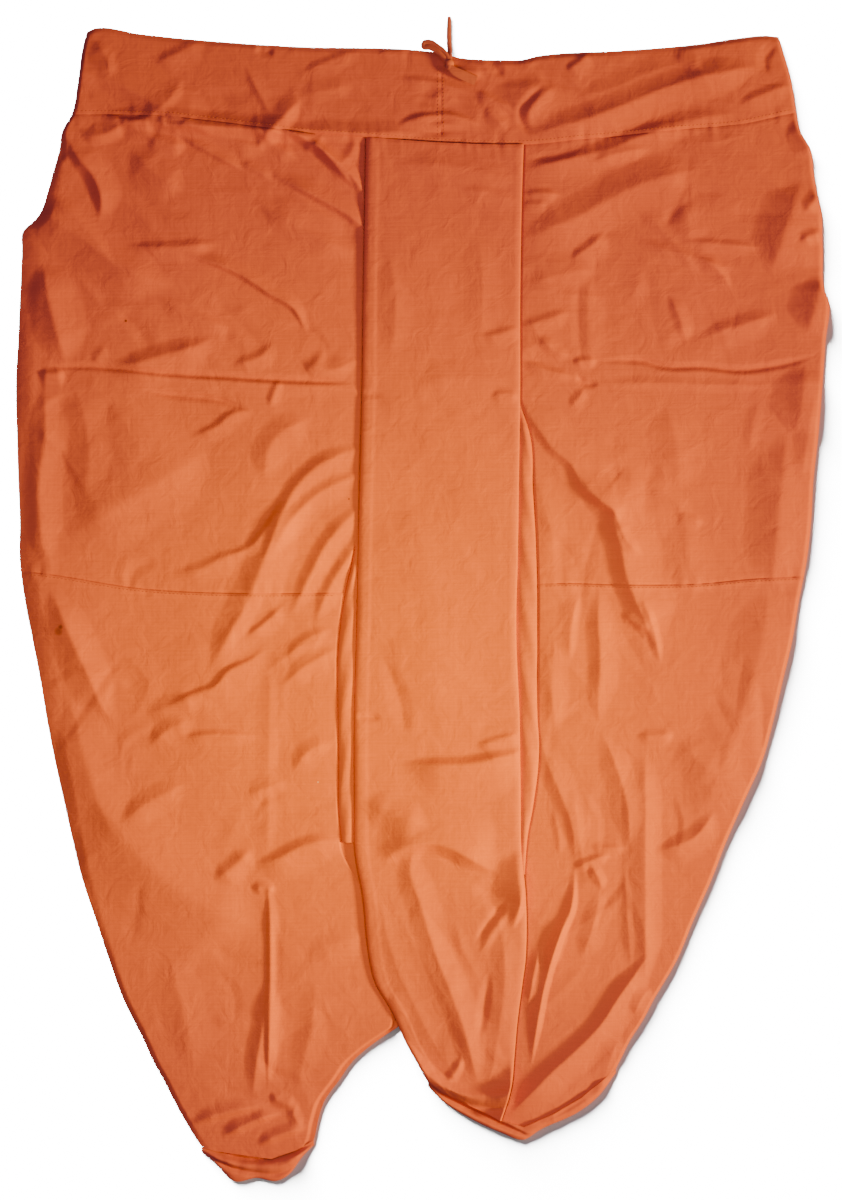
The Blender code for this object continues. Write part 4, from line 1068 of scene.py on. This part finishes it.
def dyed_cotton(name, deep, light, painted_light_pool, stained):
    """Woven cotton: colour that is painted light, pale in a pool round a centre and deep as painted
    shade away from it, with random cloudy tone, slub threads and yarn unevenness, and bump from the
    weave, the slubs and the cloth's own fine crumple."""
    material = bpy.data.materials.new(name)
    material.use_nodes = True
    tree = material.node_tree
    tree.nodes.clear()
    place = add(tree, "TexCoord", {}).outputs["Object"]
    flat = add(tree, "VectorMath", {0: place, 1: (1.0, 1.0, 0.0)}, operation="MULTIPLY")
    flat = flat.outputs["Vector"]

    # Painted light and shade: the colour is painted pale round the lower middle as a pool of light,
    # and deep towards the waist and outer edges as shade, with a random cloudy tone on top.
    centre = add(tree, "VectorMath", {0: flat, 1: painted_light_pool}, operation="DISTANCE").outputs["Value"]
    painted_light_falloff = add(tree, "MapRange", {"Value": centre, "From Min": 0.02, "From Max": 0.52,
                                  "To Min": 1.0, "To Max": 0.0}, interpolation_type="SMOOTHSTEP")
    cloud = add(tree, "TexNoise", {"Vector": flat, "Scale": 9.0, "Detail": 3.0,
                                   "Roughness": 0.55})
    cloudy = add(tree, "Math", {0: cloud.outputs["Fac"], 1: 0.24, 2: -0.12},
                 operation="MULTIPLY_ADD")
    share = add(tree, "Math", {0: painted_light_falloff.outputs["Result"], 1: cloudy.outputs["Value"]},
                operation="ADD", use_clamp=True)
    colour = add(tree, "Mix", {0: share.outputs["Value"], 6: linear(deep), 7: linear(light)},
                 data_type="RGBA").outputs[2]

    # Slub threads: about 40 mm long and 1.6 mm wide, drawn a little coarser than real.
    slub_place = add(tree, "Mapping", {"Vector": flat, "Scale": (1 / 0.040, 1 / 0.0016, 1.0)})
    slub = add(tree, "TexNoise", {"Vector": slub_place.outputs["Vector"], "Scale": 1.0,
                                  "Detail": 3.0, "Roughness": 0.6}).outputs["Fac"]
    warp_place = add(tree, "Mapping", {"Vector": flat, "Scale": (1 / 0.0014, 1 / 0.060, 1.0)})
    warp = add(tree, "TexNoise", {"Vector": warp_place.outputs["Vector"], "Scale": 1.0,
                                  "Detail": 2.0, "Roughness": 0.5}).outputs["Fac"]
    yarn = add(tree, "Math", {0: slub, 1: 0.78, 2: 0.0}, operation="MULTIPLY_ADD")
    yarn = add(tree, "Math", {0: warp, 1: 0.22, 2: yarn.outputs["Value"]},
               operation="MULTIPLY_ADD").outputs["Value"]
    tone = add(tree, "MapRange", {"Value": yarn, "From Min": 0.3, "From Max": 0.7,
                                  "To Min": 0.93, "To Max": 1.05})
    colour = add(tree, "VectorMath", {0: colour, "Scale": tone.outputs["Result"]},
                 operation="SCALE").outputs["Vector"]
    if stained:
        for spot in STAINS:
            mask = spot_mask(tree, flat, spot)
            colour = add(tree, "Mix", {0: mask, 6: colour, 7: linear("5A2212")},
                         data_type="RGBA").outputs[2]
        mask = spot_mask(tree, flat, PALE_SPOT)
        colour = add(tree, "Mix", {0: mask, 6: colour, 7: linear("F2D8C2")},
                     data_type="RGBA").outputs[2]

    # Plain weave, drawn over twice as coarse as the real 0.45 mm so that it still reads.
    weave = []
    for axis in ("X", "Y"):
        wave = add(tree, "TexWave", {"Vector": flat, "Scale": 2 * math.pi / 20 / WEAVE_PITCH,
                                     "Distortion": 0.6, "Detail": 1.0, "Detail Scale": 1.0},
                   wave_type="BANDS", bands_direction=axis)
        weave.append(wave.outputs["Fac"])
    woven = add(tree, "Math", {0: weave[0], 1: weave[1]}, operation="MULTIPLY")
    crumple = add(tree, "TexNoise", {"Vector": flat, "Scale": 55.0, "Detail": 3.0,
                                     "Roughness": 0.5, "Distortion": 0.6}).outputs["Fac"]
    low = add(tree, "Bump", {"Height": crumple, "Strength": 0.55, "Distance": 0.0022})
    mid = add(tree, "Bump", {"Height": yarn, "Strength": 0.5, "Distance": 0.0004,
                             "Normal": low.outputs["Normal"]})
    fine = add(tree, "Bump", {"Height": woven.outputs["Value"], "Strength": 0.35,
                              "Distance": 0.0002, "Normal": mid.outputs["Normal"]})
    shader = add(tree, "BsdfPrincipled", {"Base Color": colour, "Roughness": 0.62,
                                          "Specular IOR Level": 0.3,
                                          "Specular Tint": linear("FFA030"),
                                          "Sheen Weight": 0.06, "Sheen Roughness": 0.4,
                                          "Sheen Tint": linear("FFA050"),
                                          "Normal": fine.outputs["Normal"]})
    out = add(tree, "OutputMaterial", {"Surface": shader.outputs["BSDF"]})
    out.location = (600, 0)
    return material


# The cloth's two tones are its painted shade and its painted light.
orange = dyed_cotton("plain_weave_cotton", "B04E4A", "DA6E2C", PAINTED_LIGHT_POOL, True)
for made in cloth.values():
    made.data.materials.append(orange)
    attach(made, "root")
for node, made in cloth.items():
    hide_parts(node)

# The tape has the same painted shade and painted pool of light.
tape_cotton = dyed_cotton("drawstring_cotton", "A44E4A", "BE5E4C", PAINTED_LIGHT_POOL, False)
for made in [pair[0] for pair in drawstring.values()] + [knot]:
    made.data.materials.append(tape_cotton)
    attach(made, "root")

# ---------------------------------------------------------------------------------------------
# Stitching. Polyester thread in the cloth's colour: a row of lockstitches along the casing's
# lower edge, a row below each join, and a row on both sides of the casing's centre seam.
STITCH = 2.6
STITCH_GAP = 0.9
THREAD = 0.42
THREAD_SIDES = 6
STITCH_STATIONS = 6
ABOVE_WAIST = 3.2
BELOW_JOIN = 2.6
BESIDE_CENTRE = 2.4


def stitches(name, across, down, heights):
    """Row of stitches along a line: each is a short capsule, its ends sunk into the cloth."""
    line = to_world(across, down, heights)
    walked = walk(line)
    starts = np.arange(STITCH_GAP, walked[-1] / MM - STITCH, STITCH + STITCH_GAP) * MM
    stations = np.linspace(0, 1, STITCH_STATIONS)
    at = starts[:, None] + stations * STITCH * MM
    middle = np.stack([np.interp(at, walked, values) for values in line.T], axis=-1)
    ahead = unit(middle[:, -1:] - middle[:, :1])
    beside = unit(np.cross(ahead, UP))
    arch = np.sin(math.pi * stations)
    middle[..., 2] += (arch * 0.35 - 0.15) * MM
    around = np.arange(THREAD_SIDES) / THREAD_SIDES * 2 * math.pi
    radius = THREAD / 2 * MM * (0.35 + 0.65 * np.sqrt(arch))
    ring = (np.cos(around)[:, None] * beside[:, :, None]
            + np.sin(around)[:, None] * np.array(UP))
    points = middle[:, :, None] + ring * radius[None, :, None, None]
    one = tube_faces(STITCH_STATIONS, THREAD_SIDES)
    corners = STITCH_STATIONS * THREAD_SIDES
    faces = one[None] + (np.arange(len(starts)) * corners)[:, None, None]
    made = mesh_from(name, points, faces.reshape(-1, 4), 1.4)
    made.data.materials.append(thread)
    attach(made, "root")


thread = bpy.data.materials.new("polyester_thread")
thread.use_nodes = True
thread_tree = thread.node_tree
thread_place = add(thread_tree, "TexCoord", {}).outputs["Object"]
twist = add(thread_tree, "TexNoise", {"Vector": thread_place, "Scale": 900.0, "Detail": 2.0})
thread_tone = add(thread_tree, "Mix", {0: twist.outputs["Fac"], 6: linear("9C3E1E"),
                                       7: linear("C0582C")}, data_type="RGBA")
thread_shader = thread_tree.nodes["Principled BSDF"]
thread_shader.inputs["Roughness"].default_value = 0.42
thread_tree.links.new(thread_tone.outputs[2], thread_shader.inputs["Base Color"])

along = np.linspace(-314, 334, 900)
row = waist_seam(along) - ABOVE_WAIST
stitches("waist_stitching", along, row, band_height(along, row))
for side, ends in (("right", (-360, -80)), ("left", (110, 346))):
    along = np.linspace(*ends, 500)
    row = join_seam(along) + BELOW_JOIN
    stitches("join_stitching_" + side, along, row, leg_height(along, row, side))
row = np.linspace(33, 99, 120)
for offset in (-BESIDE_CENTRE, BESIDE_CENTRE):
    along = np.full_like(row, CENTRE_SEAM + offset)
    stitches("centre_stitching_%s" % ("left" if offset > 0 else "right"),
             along, row, band_height(along, row))

# ---------------------------------------------------------------------------------------------
# Sheets. A table of each piece at the size it was cut, the turned parts included.
SheetRow = namedtuple("SheetRow", "node width length share held rests_on")
SHEETS = rows(SheetRow, [
    ("waistband_front_right", 0.335, 0.082, 0.96, "laid", "waistband_back"),
    ("waistband_front_left", 0.325, 0.082, 0.96, "laid", "waistband_back"),
    ("waistband_back", 0.665, 0.080, 0.96, "laid", "floor"),
    ("leg_upper_front_right", 0.385, 0.425, 0.97, "laid", "leg_back_right"),
    ("leg_upper_front_left", 0.350, 0.420, 0.97, "laid", "leg_back_left"),
    ("leg_lower_front_right", 0.375, 0.515, 0.77, "laid", "leg_back_right"),
    ("leg_lower_front_left", 0.335, 0.490, 0.75, "laid", "leg_back_left"),
    ("leg_back_right", 0.385, 0.940, 0.82, "laid", "floor"),
    ("leg_back_left", 0.350, 0.900, 0.80, "laid", "floor"),
    ("pleat_panel", 0.155, 0.895, 0.88, "laid", "leg_upper_front_left"),
    ("underpleat_right", 0.040, 0.640, 0.98, "laid", "leg_upper_front_right"),
    ("underpleat_left", 0.040, 0.670, 0.98, "laid", "leg_upper_front_left"),
    ("ankle_hem_right", 0.108, 0.028, 0.95, "folded", "floor"),
    ("ankle_hem_left", 0.190, 0.018, 0.95, "folded", "floor"),
])
floor_data = bpy.data.meshes.new("table_surface")
FLOOR = 60.0
floor_corners = [(x * FLOOR, y * FLOOR, 0) for x, y in ((-1, -1), (1, -1), (1, 1), (-1, 1))]
floor_data.from_pydata(floor_corners, [], [(0, 1, 2, 3)])
floor = placed("table_surface", floor_data)

# ---------------------------------------------------------------------------------------------
# Light and table. A white table, a warm window-like key that comes in low from the right, a
# broad weak lamp overhead, and a pale room. The key and the lamp reach the garment alone.
table_white = bpy.data.materials.new("white_table")
table_white.use_nodes = True
white_tree = table_white.node_tree
white_tree.nodes["Principled BSDF"].inputs["Base Color"].default_value = linear("F6F6F6")
white_tree.nodes["Principled BSDF"].inputs["Roughness"].default_value = 0.9
floor_data.materials.append(table_white)


def area_light(name, place, target, size, power, tint):
    """Square soft light at a place, facing a target."""
    data = bpy.data.lights.new(name, "AREA")
    data.size = size
    data.energy = power
    data.color = linear(tint)[:3]
    made = placed(name, data)
    made.location = place
    aim = np.array(target) - np.array(place)
    made.rotation_euler = (math.atan2(math.hypot(aim[0], aim[1]), -aim[2]), 0,
                           math.atan2(aim[1], aim[0]) - math.pi / 2)
    made.light_linking.receiver_collection = garment_only


garment_only = bpy.data.collections.new("garment_only")
for made in bpy.data.objects:
    if made.type == "MESH" and made is not floor:
        garment_only.objects.link(made)
area_light("window_key", (4.3, -1.05, 1.68), (0, -0.05, 0), 0.72, 648, "FFE23C")
area_light("ceiling_lamp", (0.05, -0.1, 0.85), (0.02, -0.1, 0), 0.4, 7.0, "FFDCA0")
room = bpy.data.worlds.new("pale_room")
bpy.context.scene.world = room
room.use_nodes = True
room.node_tree.nodes["Background"].inputs["Color"].default_value = linear("FFC6FF")
room.node_tree.nodes["Background"].inputs["Strength"].default_value = 0.22

# A white sweep lit by its own lamps, as a product table is: they reach the table alone, and
# the low one leaves the garment's soft grey shadow on it, to the lower right. The fill's faint
# green takes the room's pink out of that shadow.
table_only = bpy.data.collections.new("table_only")
table_only.objects.link(floor)
for name, energy, tint, spread, turn in (("table_lamp", 230.0, "FFFFFF", 34, (-57, -62, 0)),
                                         ("table_fill", 0.45, "7FDE7F", 90, (0, 0, 0))):
    sweep = bpy.data.lights.new(name, "SUN")
    sweep.energy = energy
    sweep.color = linear(tint)[:3]
    sweep.angle = math.radians(spread)
    sweep_object = placed(name, sweep)
    sweep_object.rotation_euler = tuple(math.radians(angle) for angle in turn)
    sweep_object.light_linking.receiver_collection = table_only
floor.visible_diffuse = False
floor.visible_glossy = False

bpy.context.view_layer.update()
import json
